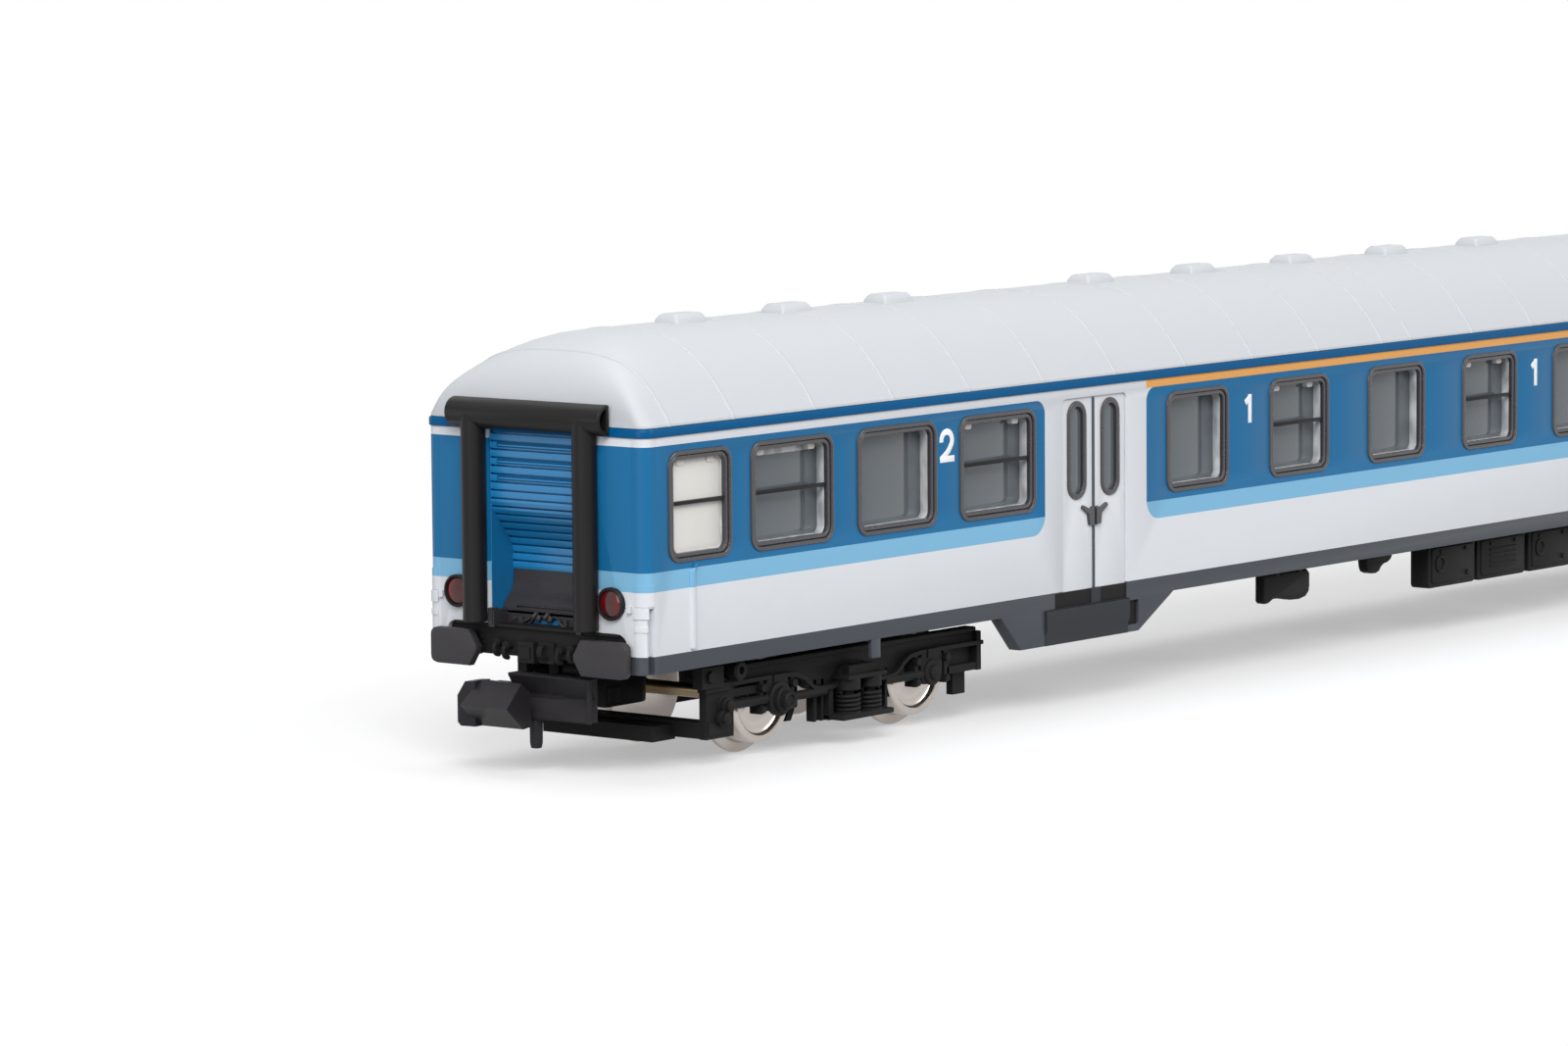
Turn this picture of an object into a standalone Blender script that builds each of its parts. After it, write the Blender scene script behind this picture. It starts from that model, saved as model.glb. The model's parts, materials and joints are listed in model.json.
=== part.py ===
"""Model passenger coach at 1:160, a mid-door commuter type on two four-wheel bogies.

Sizes are in millimetres and heights run from the rail top. The coach lies along X. Every piece of an
end is modelled for the front end, at -X, and the rear end is the same under a half turn about Z.
"""

import math

import bmesh
import bpy
from mathutils import Matrix, Vector

MM = 0.001

# Clearances
FIT = 0.1  # between pieces that are seated on each other
RUN = 0.25  # between pieces that move past each other

# Body
BODY_LENGTH = 163.2
BODY_WIDTH = 17.66
SIDE_WALL = 1.0
END_WALL = 1.2
CORNER_RADIUS = 0.6
SKIRT_BOTTOM = 5.95
EAVES = 20.87
GUTTER_HEIGHT = 0.57
GUTTER_PROUD = 0.12
CUTOUT_HALF_WIDTH = 7.3
CUTOUT_TOP = 8.1
CUTOUT_RADIUS = 0.8

# Roof
ROOF_RISE = 5.2
ROOF_WALL = 1.0
ROOF_SQUARENESS = 3.4
ROOF_FULLNESS = 1.08
DOME_LENGTH = 7.6
DOME_POWER = 2.5
VENT_LENGTH = 4.4
VENT_WIDTH = 2.6
VENT_HEIGHT = 0.65
VENT_SHOULDER = 0.8

# Windows and doors
WINDOW_BOTTOM = 12.55
WINDOW_TOP = 19.35
WINDOW_RADIUS = 0.9
SECOND_WIDTH = 8.2
SECOND_INNER_X = 46.4
SECOND_PITCH = 10.55
FIRST_WIDTH = 7.24
FIRST_PITCH = 12.06
TOILET_WIDTH = 6.05
TOILET_X = 76.44
FRAME_WIDTH = 0.38
FRAME_PROUD = 0.06
PANE_RECESS = 0.35
DROP_BAR_SHARE = 0.6
DROP_BAR_HEIGHT = 0.35
GLAZING_WALL = 0.5
GLAZING_MARGIN = 0.65
DOOR_X = 35.8
DOOR_WIDTH = 7.13
DOOR_BOTTOM = 6.96
DOOR_TOP = 19.63
DOOR_RECESS = 0.35
DOOR_WINDOW_WIDTH = 2.1
DOOR_WINDOW_BOTTOM = 12.94
DOOR_WINDOW_TOP = 19.44
DOOR_WINDOW_OFFSET = 1.85

# Step boxes under the doors
STEP_BOTTOM = 3.9
STEP_DEPTH = 1.93
STEP_PROUD = 0.06
STEP_OUTER_FOOT = 8.4
STEP_INNER_FOOT = 4.6
STEP_OUTER_SLOPE = 1.9
STEP_INNER_SLOPE = 4.3
STEP_WELL_HALF = 4.6
STEP_WELL_HEIGHT = 0.85
STEP_WELL_DEPTH = 1.4

# Gangway
GANGWAY_HALF_WIDTH = 3.72
GANGWAY_BOTTOM = 8.6
GANGWAY_TOP = 20.4
JAMB_WALL = 0.6
JAMB_DEPTH = 2.7
TUBE_Y = 4.48
TUBE_RADIUS = 0.77
TUBE_STANDOFF = 0.32
TUBE_BOTTOM = 8.45
ROLL_Z = 21.3
ROLL_RADIUS = 0.95
ROLL_STANDOFF = 0.3
ROLL_HALF_LENGTH = 5.75
ROLL_BORE = 0.62
ROLL_BORE_DEPTH = 1.2
SHUTTER_WALL = 0.5
SHUTTER_RIBS = 16
SHUTTER_RIB_PROUD = 0.12
SHUTTER_TOP_DEPTH = 0.35
SHUTTER_FOOT_DEPTH = 2.1
SHUTTER_BEND_TOP = 15.6
SHUTTER_BEND_FOOT = 11.6
BRIDGE_TOP = 11.8
BRIDGE_WALL = 0.5
BRIDGE_BLOCK_WIDTH = 1.1
BRIDGE_BLOCK_HEIGHT = 0.8

# End details
BUFFER_Y = 5.79
BUFFER_Z = 6.77
BUFFER_REACH = 0.9
BUFFER_WIDTH = 4.2
BUFFER_HEIGHT = 2.36
BUFFER_HEAD = 0.75
BUFFER_CHAMFER = 0.7
BUFFER_SHANK = 0.55
LAMP_Y = 6.11
LAMP_Z = 10.2
LAMP_RADIUS = 1.0
LAMP_STEM = 0.7
LAMP_PROUD = 0.3
HEADSTOCK_HALF_WIDTH = 7.0
HEADSTOCK_BOTTOM = 6.0
HEADSTOCK_SETBACK = 0.3
HEADSTOCK_DEPTH = 1.8
DRAW_HOOK_PROUD = 0.7

# Underframe, equipment, weight and seats
FLOOR_BOTTOM = 7.1
FLOOR_WALL = 1.0
SILL_HEIGHT = 1.4
SILL_Y = 1.2
SILL_WALL = 0.8
SILL_HALF_LENGTH = 44.0
RIB_PITCH = 20.0
RIB_HEIGHT = 0.8
RIB_HALF_WIDTH = 3.7
BALLAST_LENGTH = 124.0
BALLAST_WIDTH = 12.0
BALLAST_HEIGHT = 1.0
CASE_COUNT = 4
CASE_LENGTH = 5.0
CASE_PITCH = 5.5
CASE_INNER_X = 3.7
CASE_BOTTOM = 2.3
CASE_WIDTH = 3.2
CASE_OUTER_Y = 7.2
CASE_RAIL_HEIGHT = 1.3
TANK_X = 11.3
TANK_LENGTH = 5.8
TANK_WIDTH = 2.8
TANK_BOTTOM = 3.4
TANK_HEIGHT = 2.6
TANK_NECK = 2.6
SEAT_FLOOR = 0.6
SEAT_HEIGHT = 2.0
SEAT_BACK = 5.6
SEAT_DEPTH = 3.0
AISLE_HALF = 1.7
PARTITION_TOP = 19.4
PARTITION_WALL = 0.6

# Bogies
PIVOT_SPACING = 118.4
WHEELBASE = 15.7
TREAD_DIAMETER = 5.84
FLANGE_DEPTH = 0.7
WHEEL_BACK = 3.7
WHEEL_FACE = 5.85
WHEEL_STEPS = 16
RIM_WALL = 0.5
WEB_RECESS = 0.4
HUB_RADIUS = 0.95
AXLE_RADIUS = 0.45
AXLE_TIP = 6.95
SIDE_INNER = 6.1
SIDE_WALL_BOGIE = 0.8
SIDE_TOP = 4.95
SIDE_RAIL = 4.2
SIDE_BELLY = 2.95
SIDE_HALF_LENGTH = 13.4
SPRING_NOTCH = 1.85
BELLY_HALF = 3.2
NECK_HALF = 5.2
RAIL_HEIGHT = 0.32
RAIL_PROUD = 0.35
AXLE_BOX_WIDTH = 2.4
AXLE_BOX_PROUD = 0.7
AXLE_CAP_RADIUS = 0.65
AXLE_CAP_FACE = 8.3
GUIDE_HEIGHT = 0.45
SPRING_X = 1.07
SPRING_Y = 7.4
SPRING_RADIUS = 0.68
SPRING_WIRE = 0.15
SPRING_TURNS = 2.5
SPRING_POINTS = 8
SPRING_SIDES = 6
PLANK_BOTTOM = 1.0
PLANK_WALL = 0.3
PLANK_HALF_LENGTH = 2.6
SPRING_SEAT = 3.1
TRANSOM_X = 3.25
TRANSOM_WIDTH = 1.1
TRANSOM_HEIGHT = 0.9
BOLSTER_BOTTOM = 4.15
BEARING_RING_RADIUS = 2.4
BEARING_RING_TOP = 5.45
PIVOT_PIN = 1.1
END_BOX_FRONT = 14.78
END_BOX_LENGTH = 2.65
END_BOX_INNER = 4.4
END_BOX_OUTER = 7.0
END_BOX_BOTTOM = 1.08
END_BOX_TOP = 4.04
CROSS_BAR_REACH = 2.0
CROSS_BAR_HALF = 4.42
CROSS_BAR_BOTTOM = 0.97
CROSS_BAR_TOP = 2.01
BRAKE_Y = 5.1
BRAKE_WIDTH = 0.9
BRAKE_BOTTOM = 1.3

# Couplers
SWING_X = 73.6
SWING_PIN = 0.55
SWING_BOSS = 1.3
DRAWBAR_HALF_WIDTH = 1.5
DRAWBAR_BOTTOM = 4.75
DRAWBAR_TOP = 5.9
FORK_HALF_GAP = 0.72
LIFT_X = 77.8
LIFT_Z = 5.3
LIFT_PIN = 0.3
LIFT_EYE = 0.75
FORK_REACH = 0.9
CATCH_FRONT = 81.4
CATCH_WALL = 0.9
CATCH_LEFT = 4.2
CATCH_RIGHT = 3.2
CATCH_BOTTOM = 2.7
CATCH_TOP = 5.3
CATCH_GROOVE = 0.45
NOSE_TIP = 84.5
NOSE_REAR = 82.1
NOSE_SHOULDER = 83.0
NOSE_LEFT = 0.25
NOSE_RIGHT = 3.9
NOSE_BOTTOM = 2.25
NOSE_TOP = 4.9
HOOK_ARM = 1.2
TRIP_PIN = 0.36
TRIP_PIN_BOTTOM = 0.75
HAIRPIN_WALL = 0.3
HAIRPIN_HEIGHT = 0.4
PEG_RADIUS = 0.3
DRAWBAR_PEG_REACH = 2.0
FRAME_PEG_REACH = 2.9

# Worked out from the sizes above
HALF_LENGTH = BODY_LENGTH / 2
HALF_WIDTH = BODY_WIDTH / 2
INNER_HALF_LENGTH = HALF_LENGTH - END_WALL
INNER_HALF_WIDTH = HALF_WIDTH - SIDE_WALL
FLOOR_TOP = FLOOR_BOTTOM + FLOOR_WALL
BALLAST_BOTTOM = FLOOR_TOP + FIT
SEAT_BOTTOM = BALLAST_BOTTOM + BALLAST_HEIGHT + FIT
SEAT_FLOOR_TOP = SEAT_BOTTOM + SEAT_FLOOR
GLAZING_OUTER = INNER_HALF_WIDTH - FIT
GLAZING_INNER = GLAZING_OUTER - GLAZING_WALL
SEAT_HALF_WIDTH = GLAZING_INNER - FIT
PIVOT_X = -PIVOT_SPACING / 2
HALF_BASE = WHEELBASE / 2
AXLE_Z = TREAD_DIAMETER / 2
FLANGE_RADIUS = AXLE_Z + FLANGE_DEPTH
SIDE_OUTER = SIDE_INNER + SIDE_WALL_BOGIE
SECOND_CENTRES = [SECOND_INNER_X + i * SECOND_PITCH for i in range(3)]
FIRST_CENTRES = [i * FIRST_PITCH for i in range(-2, 3)]
BURY = 0.2  # how far a fused shape runs into the one that carries it

FINISHES = {
    "body blue": ((0.02, 0.14, 0.34), 0.4, 0.0),
    "roof grey": ((0.66, 0.68, 0.71), 0.45, 0.0),
    "clear": ((0.6, 0.65, 0.66), 0.1, 0.0),
    "seat grey": ((0.2, 0.21, 0.22), 0.6, 0.0),
    "steel": ((0.55, 0.56, 0.57), 0.35, 1.0),
    "black plastic": ((0.03, 0.03, 0.03), 0.5, 0.0),
    "lamp red": ((0.25, 0.01, 0.01), 0.15, 0.0),
    "nickel": ((0.75, 0.73, 0.7), 0.2, 1.0),
}
PLACES = {}


def clear_scene():
    for thing in list(bpy.data.objects):
        bpy.data.objects.remove(thing, do_unlink=True)


def material(name):
    if name not in bpy.data.materials:
        colour, roughness, metallic = FINISHES[name]
        made = bpy.data.materials.new(name)
        made.use_nodes = True
        shader = made.node_tree.nodes["Principled BSDF"]
        shader.inputs["Base Color"].default_value = (*colour, 1)
        shader.inputs["Roughness"].default_value = roughness
        shader.inputs["Metallic"].default_value = metallic
    return bpy.data.materials[name]


def empty(name, parent=None, at=(0, 0, 0), turn=0.0):
    """A marker that pieces hang on. Its place is kept, so that shapes can be drawn in the end's own frame."""
    marker = bpy.data.objects.new(name, None)
    bpy.context.scene.collection.objects.link(marker)
    marker.parent = parent
    PLACES[name] = Vector(at)
    marker.location = (PLACES[name] - (PLACES[parent.name] if parent else Vector())) * MM
    marker.rotation_euler.z = turn
    return marker


def link(name, shape, parent):
    """An object of the shape, with its origin on its parent marker."""
    bmesh.ops.translate(shape, verts=shape.verts, vec=-PLACES[parent.name] * MM)
    mesh = bpy.data.meshes.new(name)
    shape.to_mesh(mesh)
    shape.free()
    mesh.shade_smooth()
    mesh.set_sharp_from_angle(angle=math.radians(35))
    made = bpy.data.objects.new(name, mesh)
    bpy.context.scene.collection.objects.link(made)
    made.parent = parent
    return made


def piece(name, shape, finish, parent):
    made = link(name, shape, parent)
    made.data.materials.append(material(finish))
    return made


def combine(target, shape, operation):
    helper = link(f"{target.name}_{operation.lower()}_{len(target.modifiers)}", shape, target.parent)
    helper.hide_render = True
    helper.display_type = "WIRE"
    modifier = target.modifiers.new(operation.title(), "BOOLEAN")
    modifier.operation = operation
    modifier.solver = "EXACT"
    modifier.use_self = True
    modifier.object = helper


def fuse(target, *shapes):
    combine(target, group(*shapes), "UNION")


def cut(target, *shapes):
    combine(target, group(*shapes), "DIFFERENCE")


def group(*shapes):
    """Several shapes in one mesh."""
    whole = bmesh.new()
    for shape in shapes:
        scratch = bpy.data.meshes.new("scratch")
        shape.to_mesh(scratch)
        shape.free()
        whole.from_mesh(scratch)
        bpy.data.meshes.remove(scratch)
    return whole


def spot(axis, a, b, along):
    """A point whose outline coordinates are a and b, at a distance along the axis."""
    return {"X": (along, a, b), "Y": (a, along, b), "Z": (a, b, along)}[axis]


def prism(outline, axis, start, end):
    """An outline pushed along an axis. It is drawn in (y, z) for X, (x, z) for Y and (x, y) for Z."""
    return loft([[spot(axis, a, b, along) for a, b in outline] for along in (start, end)])


def box(x, y, z):
    """A block between two values on each axis."""
    return prism([(x[0], y[0]), (x[1], y[0]), (x[1], y[1]), (x[0], y[1])], "Z", *z)


def loft(rings, closed=False):
    """Faces between rings of as many points each. The ends are capped, or joined to each other if closed."""
    shape = bmesh.new()
    loops = [[shape.verts.new(Vector(point) * MM) for point in ring] for ring in rings]
    for first, second in zip(loops, loops[1:] + loops[:1] if closed else loops[1:]):
        for i in range(len(first)):
            shape.faces.new((first[i - 1], first[i], second[i], second[i - 1]))
    if not closed:
        shape.faces.new(loops[0])
        shape.faces.new(loops[-1])
    bmesh.ops.recalc_face_normals(shape, faces=shape.faces)
    return shape


def hull(points):
    """The smallest convex body round some points."""
    shape = bmesh.new()
    for point in points:
        shape.verts.new(Vector(point) * MM)
    made = bmesh.ops.convex_hull(shape, input=shape.verts)
    inside = [v for v in made["geom_interior"] if isinstance(v, bmesh.types.BMVert)]
    bmesh.ops.delete(shape, geom=inside, context="VERTS")
    bmesh.ops.recalc_face_normals(shape, faces=shape.faces)
    return shape


def circle(centre, radius, steps):
    """A ring of points with a flat at the bottom, drawn so that its flats touch the circle."""
    reach = radius / math.cos(math.pi / steps)
    angles = [-math.pi / 2 + (i + 0.5) * math.tau / steps for i in range(steps)]
    return [(centre[0] + reach * math.cos(t), centre[1] + reach * math.sin(t)) for t in angles]


def rod(axis, centre, radius, start, end, steps=12):
    return prism(circle(centre, radius, steps), axis, start, end)


def turned(profile, axis, centre, steps, closed=False):
    """A profile of (radius, distance along the axis) points turned about the axis."""
    rings = [[spot(axis, *p, along) for p in circle(centre, radius, steps)] for radius, along in profile]
    return loft(rings, closed)


def rounded(centre, width, height, radius, steps=2):
    """A rectangle with round corners."""
    outline = []
    for quarter, (right, up) in enumerate(((1, 1), (-1, 1), (-1, -1), (1, -1))):
        for i in range(steps + 1):
            t = (quarter + i / steps) * math.pi / 2
            outline.append((
                centre[0] + right * (width / 2 - radius) + radius * math.cos(t),
                centre[1] + up * (height / 2 - radius) + radius * math.sin(t),
            ))
    return outline


def both_sides(low, high):
    """The two spans of Y at the same distances left and right of the middle."""
    return ((-high, -low), (low, high))


def windows():
    """Every side window as (centre x, width, whether its top half drops)."""
    found = [(x, FIRST_WIDTH, i % 2 == 1) for i, x in enumerate(FIRST_CENTRES)]
    for end in (-1, 1):
        found += [(end * x, SECOND_WIDTH, i != 1) for i, x in enumerate(SECOND_CENTRES)]
        found.append((end * TOILET_X, TOILET_WIDTH, True))
    return found


def window_outline(x, width, inset):
    middle = (WINDOW_BOTTOM + WINDOW_TOP) / 2
    height = WINDOW_TOP - WINDOW_BOTTOM
    return rounded((x, middle), width - 2 * inset, height - 2 * inset, WINDOW_RADIUS - inset)


def door_window_outline(x, inset):
    middle = (DOOR_WINDOW_BOTTOM + DOOR_WINDOW_TOP) / 2
    height = DOOR_WINDOW_TOP - DOOR_WINDOW_BOTTOM
    width = DOOR_WINDOW_WIDTH - 2 * inset
    return rounded((x, middle), width, height - 2 * inset, width / 2 - BURY / 10)


def door_windows():
    return [end * DOOR_X + side * DOOR_WINDOW_OFFSET for end in (-1, 1) for side in (-1, 1)]


def body_shell(rails):
    gutter = EAVES - GUTTER_HEIGHT
    rings = []
    for height, proud in ((SKIRT_BOTTOM, 0), (gutter, 0), (gutter, GUTTER_PROUD), (EAVES, GUTTER_PROUD)):
        outline = rounded((0, 0), BODY_LENGTH + 2 * proud, BODY_WIDTH + 2 * proud, CORNER_RADIUS + proud)
        rings.append([(x, y, height) for x, y in outline])
    shell = piece("body_shell", loft(rings), "body blue", rails)
    across = (-BODY_WIDTH, BODY_WIDTH)
    along = (-BODY_LENGTH, BODY_LENGTH)
    inner_x = (-INNER_HALF_LENGTH, INNER_HALF_LENGTH)
    inner_y = (-INNER_HALF_WIDTH, INNER_HALF_WIDTH)
    cut(shell, box(inner_x, inner_y, (0, 2 * EAVES)))
    fuse(shell, *step_boxes(), *gangway_jambs())
    openings = [prism(window_outline(x, width, 0), "Y", *across) for x, width, _ in windows()]
    openings += [prism(door_window_outline(x, 0), "Y", *across) for x in door_windows()]
    openings.append(box(along, (-GANGWAY_HALF_WIDTH, GANGWAY_HALF_WIDTH), (GANGWAY_BOTTOM, GANGWAY_TOP)))
    openings += [rod("X", (side * LAMP_Y, LAMP_Z), LAMP_STEM + FIT, *along) for side in (-1, 1)]
    cut(shell, *openings)
    cut(shell, *door_recesses(), *end_cutouts())


def step_boxes():
    """The boxes that hang under the doors and carry the steps, wider at the top."""
    made = []
    for end in (-1, 1):
        outer = DOOR_X + STEP_OUTER_FOOT
        inner = DOOR_X - STEP_INNER_FOOT
        top = DOOR_BOTTOM - STEP_WELL_HEIGHT / 2
        corners = [
            (outer + STEP_OUTER_SLOPE, top), (outer + STEP_OUTER_SLOPE, SKIRT_BOTTOM), (outer, STEP_BOTTOM),
            (inner, STEP_BOTTOM), (inner - STEP_INNER_SLOPE, SKIRT_BOTTOM), (inner - STEP_INNER_SLOPE, top),
        ]
        for y in both_sides(HALF_WIDTH - STEP_DEPTH, HALF_WIDTH + STEP_PROUD):
            made.append(prism([(end * x, z) for x, z in corners], "Y", *y))
    return made


def gangway_jambs():
    """Side walls of the gangway recess, running in from the end walls."""
    made = []
    for end in (-1, 1):
        x = sorted((end * (HALF_LENGTH - END_WALL / 2), end * (HALF_LENGTH - JAMB_DEPTH)))
        for y in both_sides(GANGWAY_HALF_WIDTH - BURY, GANGWAY_HALF_WIDTH + JAMB_WALL):
            made.append(box(x, y, (CUTOUT_TOP + BURY, GANGWAY_TOP + JAMB_WALL / 2)))
    return made


def door_recesses():
    """The doors lie behind the side's face, over a well for the step."""
    made = []
    for end in (-1, 1):
        leaf = (end * DOOR_X - DOOR_WIDTH / 2, end * DOOR_X + DOOR_WIDTH / 2)
        well = (end * DOOR_X - STEP_WELL_HALF, end * DOOR_X + STEP_WELL_HALF)
        for y in both_sides(HALF_WIDTH - DOOR_RECESS, BODY_WIDTH):
            made.append(box(leaf, y, (DOOR_BOTTOM + BURY / 2, DOOR_TOP)))
        for y in both_sides(HALF_WIDTH - STEP_WELL_DEPTH, BODY_WIDTH):
            made.append(box(well, y, (DOOR_BOTTOM - STEP_WELL_HEIGHT, DOOR_BOTTOM)))
    return made


def end_cutouts():
    """The opening under each end wall that the headstock fills."""
    height = CUTOUT_TOP
    outline = rounded((0, CUTOUT_TOP - height / 2), 2 * CUTOUT_HALF_WIDTH, height, CUTOUT_RADIUS)
    reach = (HALF_LENGTH - JAMB_DEPTH, BODY_LENGTH)
    return [prism(outline, "X", *reach), prism(outline, "X", -reach[1], -reach[0])]


def roof_height(y, past):
    """Height over the eaves at a distance from the middle line and a distance past the dome's start."""
    arch = max(0, 1 - (abs(y) / HALF_WIDTH) ** ROOF_SQUARENESS) ** ROOF_FULLNESS
    dome =max(0, 1 - max(0, past / DOME_LENGTH) ** DOME_POWER) ** (1 / DOME_POWER)
    if min(arch, dome) <= 0:
        return 0
    return ROOF_RISE * (arch**-3 + dome**-3 - 1) ** (-1 / 3)


def roof_ring(x, past, inset, steps):
    """The roof's arch at one place along the coach, closed along its foot."""
    half = HALF_WIDTH - inset
    foot = EAVES + FIT - (inset and BODY_WIDTH)
    ring = [(x, half, foot)]
    for i in range(1, steps):
        y = half * math.cos(math.pi * i / steps)
        ring.append((x, y, EAVES + FIT + BURY + roof_height(y, past) * (1 - BURY / ROOF_RISE) - inset))
    return ring + [(x, -half, foot)]


def roof(rails):
    start = HALF_LENGTH - DOME_LENGTH
    turns = [math.radians(angle) for angle in (87, 78, 66, 52, 36, 18, 0)]
    past = [DOME_LENGTH * math.sin(t) ** (2 / DOME_POWER) for t in turns]
    rings = [roof_ring(-start - d, d, 0, 20) for d in past]
    rings += [roof_ring(start + d, d, 0, 20) for d in reversed(past)]
    cover = piece("roof", loft(rings), "roof grey", rails)
    cut(cover, loft([roof_ring(side * start, 0, ROOF_WALL, 10) for side in (-1, 1)]))
    fuse(cover, *[vent(x) for x in vent_places()])


def vent_places():
    """One vent over every window but the toilets'."""
    return FIRST_CENTRES + [end * x for end in (-1, 1) for x in SECOND_CENTRES]


def vent(x):
    """A low ventilator hood with sloping ends and sides."""
    crest = EAVES + FIT + ROOF_RISE
    rings = []
    for height, shrink in ((-2 * BURY, 0), (VENT_HEIGHT / 2, 0), (VENT_HEIGHT, VENT_SHOULDER)):
        outline = rounded((x, 0), VENT_LENGTH - 2 * shrink, VENT_WIDTH - 2 * shrink, BURY, 1)
        rings.append([(a, b, crest + height) for a, b in outline])
    return loft(rings)


def glazing(name, side, rails):
    """The clear insert behind one side. Each pane fills its opening and has a frame round a sunk field."""
    strip = box(
        (-INNER_HALF_LENGTH + FIT, INNER_HALF_LENGTH - FIT),
        sorted((side * GLAZING_INNER, side * GLAZING_OUTER)),
        (WINDOW_BOTTOM - GLAZING_MARGIN, WINDOW_TOP + GLAZING_MARGIN),
    )
    insert = piece(name, strip, "clear", rails)
    face = HALF_WIDTH + FRAME_PROUD
    field = face - PANE_RECESS
    panes = []
    bar = WINDOW_BOTTOM + DROP_BAR_SHARE * (WINDOW_TOP - WINDOW_BOTTOM)
    for x, width, drops in windows():
        inner = FIT + FRAME_WIDTH
        steps = ((GLAZING_OUTER - BURY, FIT), (face, FIT), (face, inner), (field, inner))
        panes.append(loft([
            [(a, side * y, b) for a, b in window_outline(x, width, inset)] for y, inset in steps
        ]))
        if drops:
            span = (x - width / 2 + FIT + BURY, x + width / 2 - FIT - BURY)
            depth = sorted((side * (field - BURY), side * (face - FRAME_PROUD)))
            panes.append(box(span, depth, (bar, bar + DROP_BAR_HEIGHT)))
    door_face = HALF_WIDTH - DOOR_RECESS + FRAME_PROUD
    for x in door_windows():
        panes.append(prism(door_window_outline(x, FIT), "Y", side * (GLAZING_OUTER - BURY), side * door_face))
    fuse(insert, *panes)


def seat_unit(rails):
    length = INNER_HALF_LENGTH - JAMB_DEPTH
    floor = box((-length, length), (-SEAT_HALF_WIDTH, SEAT_HALF_WIDTH), (SEAT_BOTTOM, SEAT_FLOOR_TOP))
    unit = piece("seat_unit", floor, "seat grey", rails)
    vestibule = (DOOR_X - STEP_WELL_HALF, DOOR_X + STEP_WELL_HALF)
    walls = [*vestibule, TOILET_X - TOILET_WIDTH / 2 - FRAME_WIDTH]
    gaps = [(a + b) / 2 for a, b in zip(SECOND_CENTRES, SECOND_CENTRES[1:])]
    gaps += [(a + b) / 2 for a, b in zip(FIRST_CENTRES[2:], FIRST_CENTRES[3:])]
    shapes = []
    for y in both_sides(AISLE_HALF, SEAT_HALF_WIDTH - FIT):
        for end in (-1, 1):
            for x in walls:
                span = (end * x - PARTITION_WALL / 2, end * x + PARTITION_WALL / 2)
                shapes.append(box(span, y, (SEAT_FLOOR_TOP - BURY, PARTITION_TOP)))
            shapes += [prism(bench(end * x), "Y", *y) for x in gaps]
    fuse(unit, *shapes)


def bench(x):
    """The section of two seats back to back."""
    half = [(SEAT_DEPTH, -BURY), (SEAT_DEPTH, SEAT_HEIGHT), (0.75, SEAT_HEIGHT - 0.2), (0.5, SEAT_BACK)]
    outline = half + [(-a, b) for a, b in reversed(half)]
    return [(x + a, SEAT_FLOOR_TOP + b) for a, b in outline]


def ballast(rails):
    size = (BALLAST_LENGTH / 2, BALLAST_WIDTH / 2)
    block = box((-size[0], size[0]), (-size[1], size[1]), (BALLAST_BOTTOM, BALLAST_BOTTOM + BALLAST_HEIGHT))
    piece("ballast_plate", block, "steel", rails)


def underframe(rails):
    length = HALF_LENGTH - HEADSTOCK_SETBACK - HEADSTOCK_DEPTH - FIT
    width = INNER_HALF_WIDTH - FIT
    floor = box((-length, length), (-width, width), (FLOOR_BOTTOM, FLOOR_TOP))
    frame = piece("underframe", floor, "black plastic", rails)
    top = FLOOR_BOTTOM + BURY
    shapes = []
    for y in both_sides(SILL_Y - SILL_WALL / 2, SILL_Y + SILL_WALL / 2):
        shapes.append(box((-SILL_HALF_LENGTH, SILL_HALF_LENGTH), y, (FLOOR_BOTTOM - SILL_HEIGHT, top)))
    for i in range(-2, 3):
        x = (i * RIB_PITCH - SILL_WALL / 2, i * RIB_PITCH + SILL_WALL / 2)
        shapes.append(box(x, (-RIB_HALF_WIDTH, RIB_HALF_WIDTH), (FLOOR_BOTTOM - RIB_HEIGHT, top)))
    holes = []
    for end in (-1, 1):
        pivot = (end * PIVOT_X, 0)
        swing = (end * SWING_X, 0)
        shapes.append(rod("Z", pivot, BEARING_RING_RADIUS, BEARING_RING_TOP + FIT, top, 16))
        shapes.append(rod("Z", swing, SWING_BOSS, DRAWBAR_TOP + FIT, top, 16))
        peg = (end * (SWING_X + FRAME_PEG_REACH), 0)
        shapes.append(rod("Z", peg, PEG_RADIUS, DRAWBAR_TOP + FIT, top, 8))
        holes.append(rod("Z", pivot, PIVOT_PIN + FIT, 0, 2 * EAVES, 12))
        holes.append(rod("Z", swing, SWING_PIN + FIT, 0, 2 * EAVES, 12))
    fuse(frame, *shapes)
    cut(frame, *holes)


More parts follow.
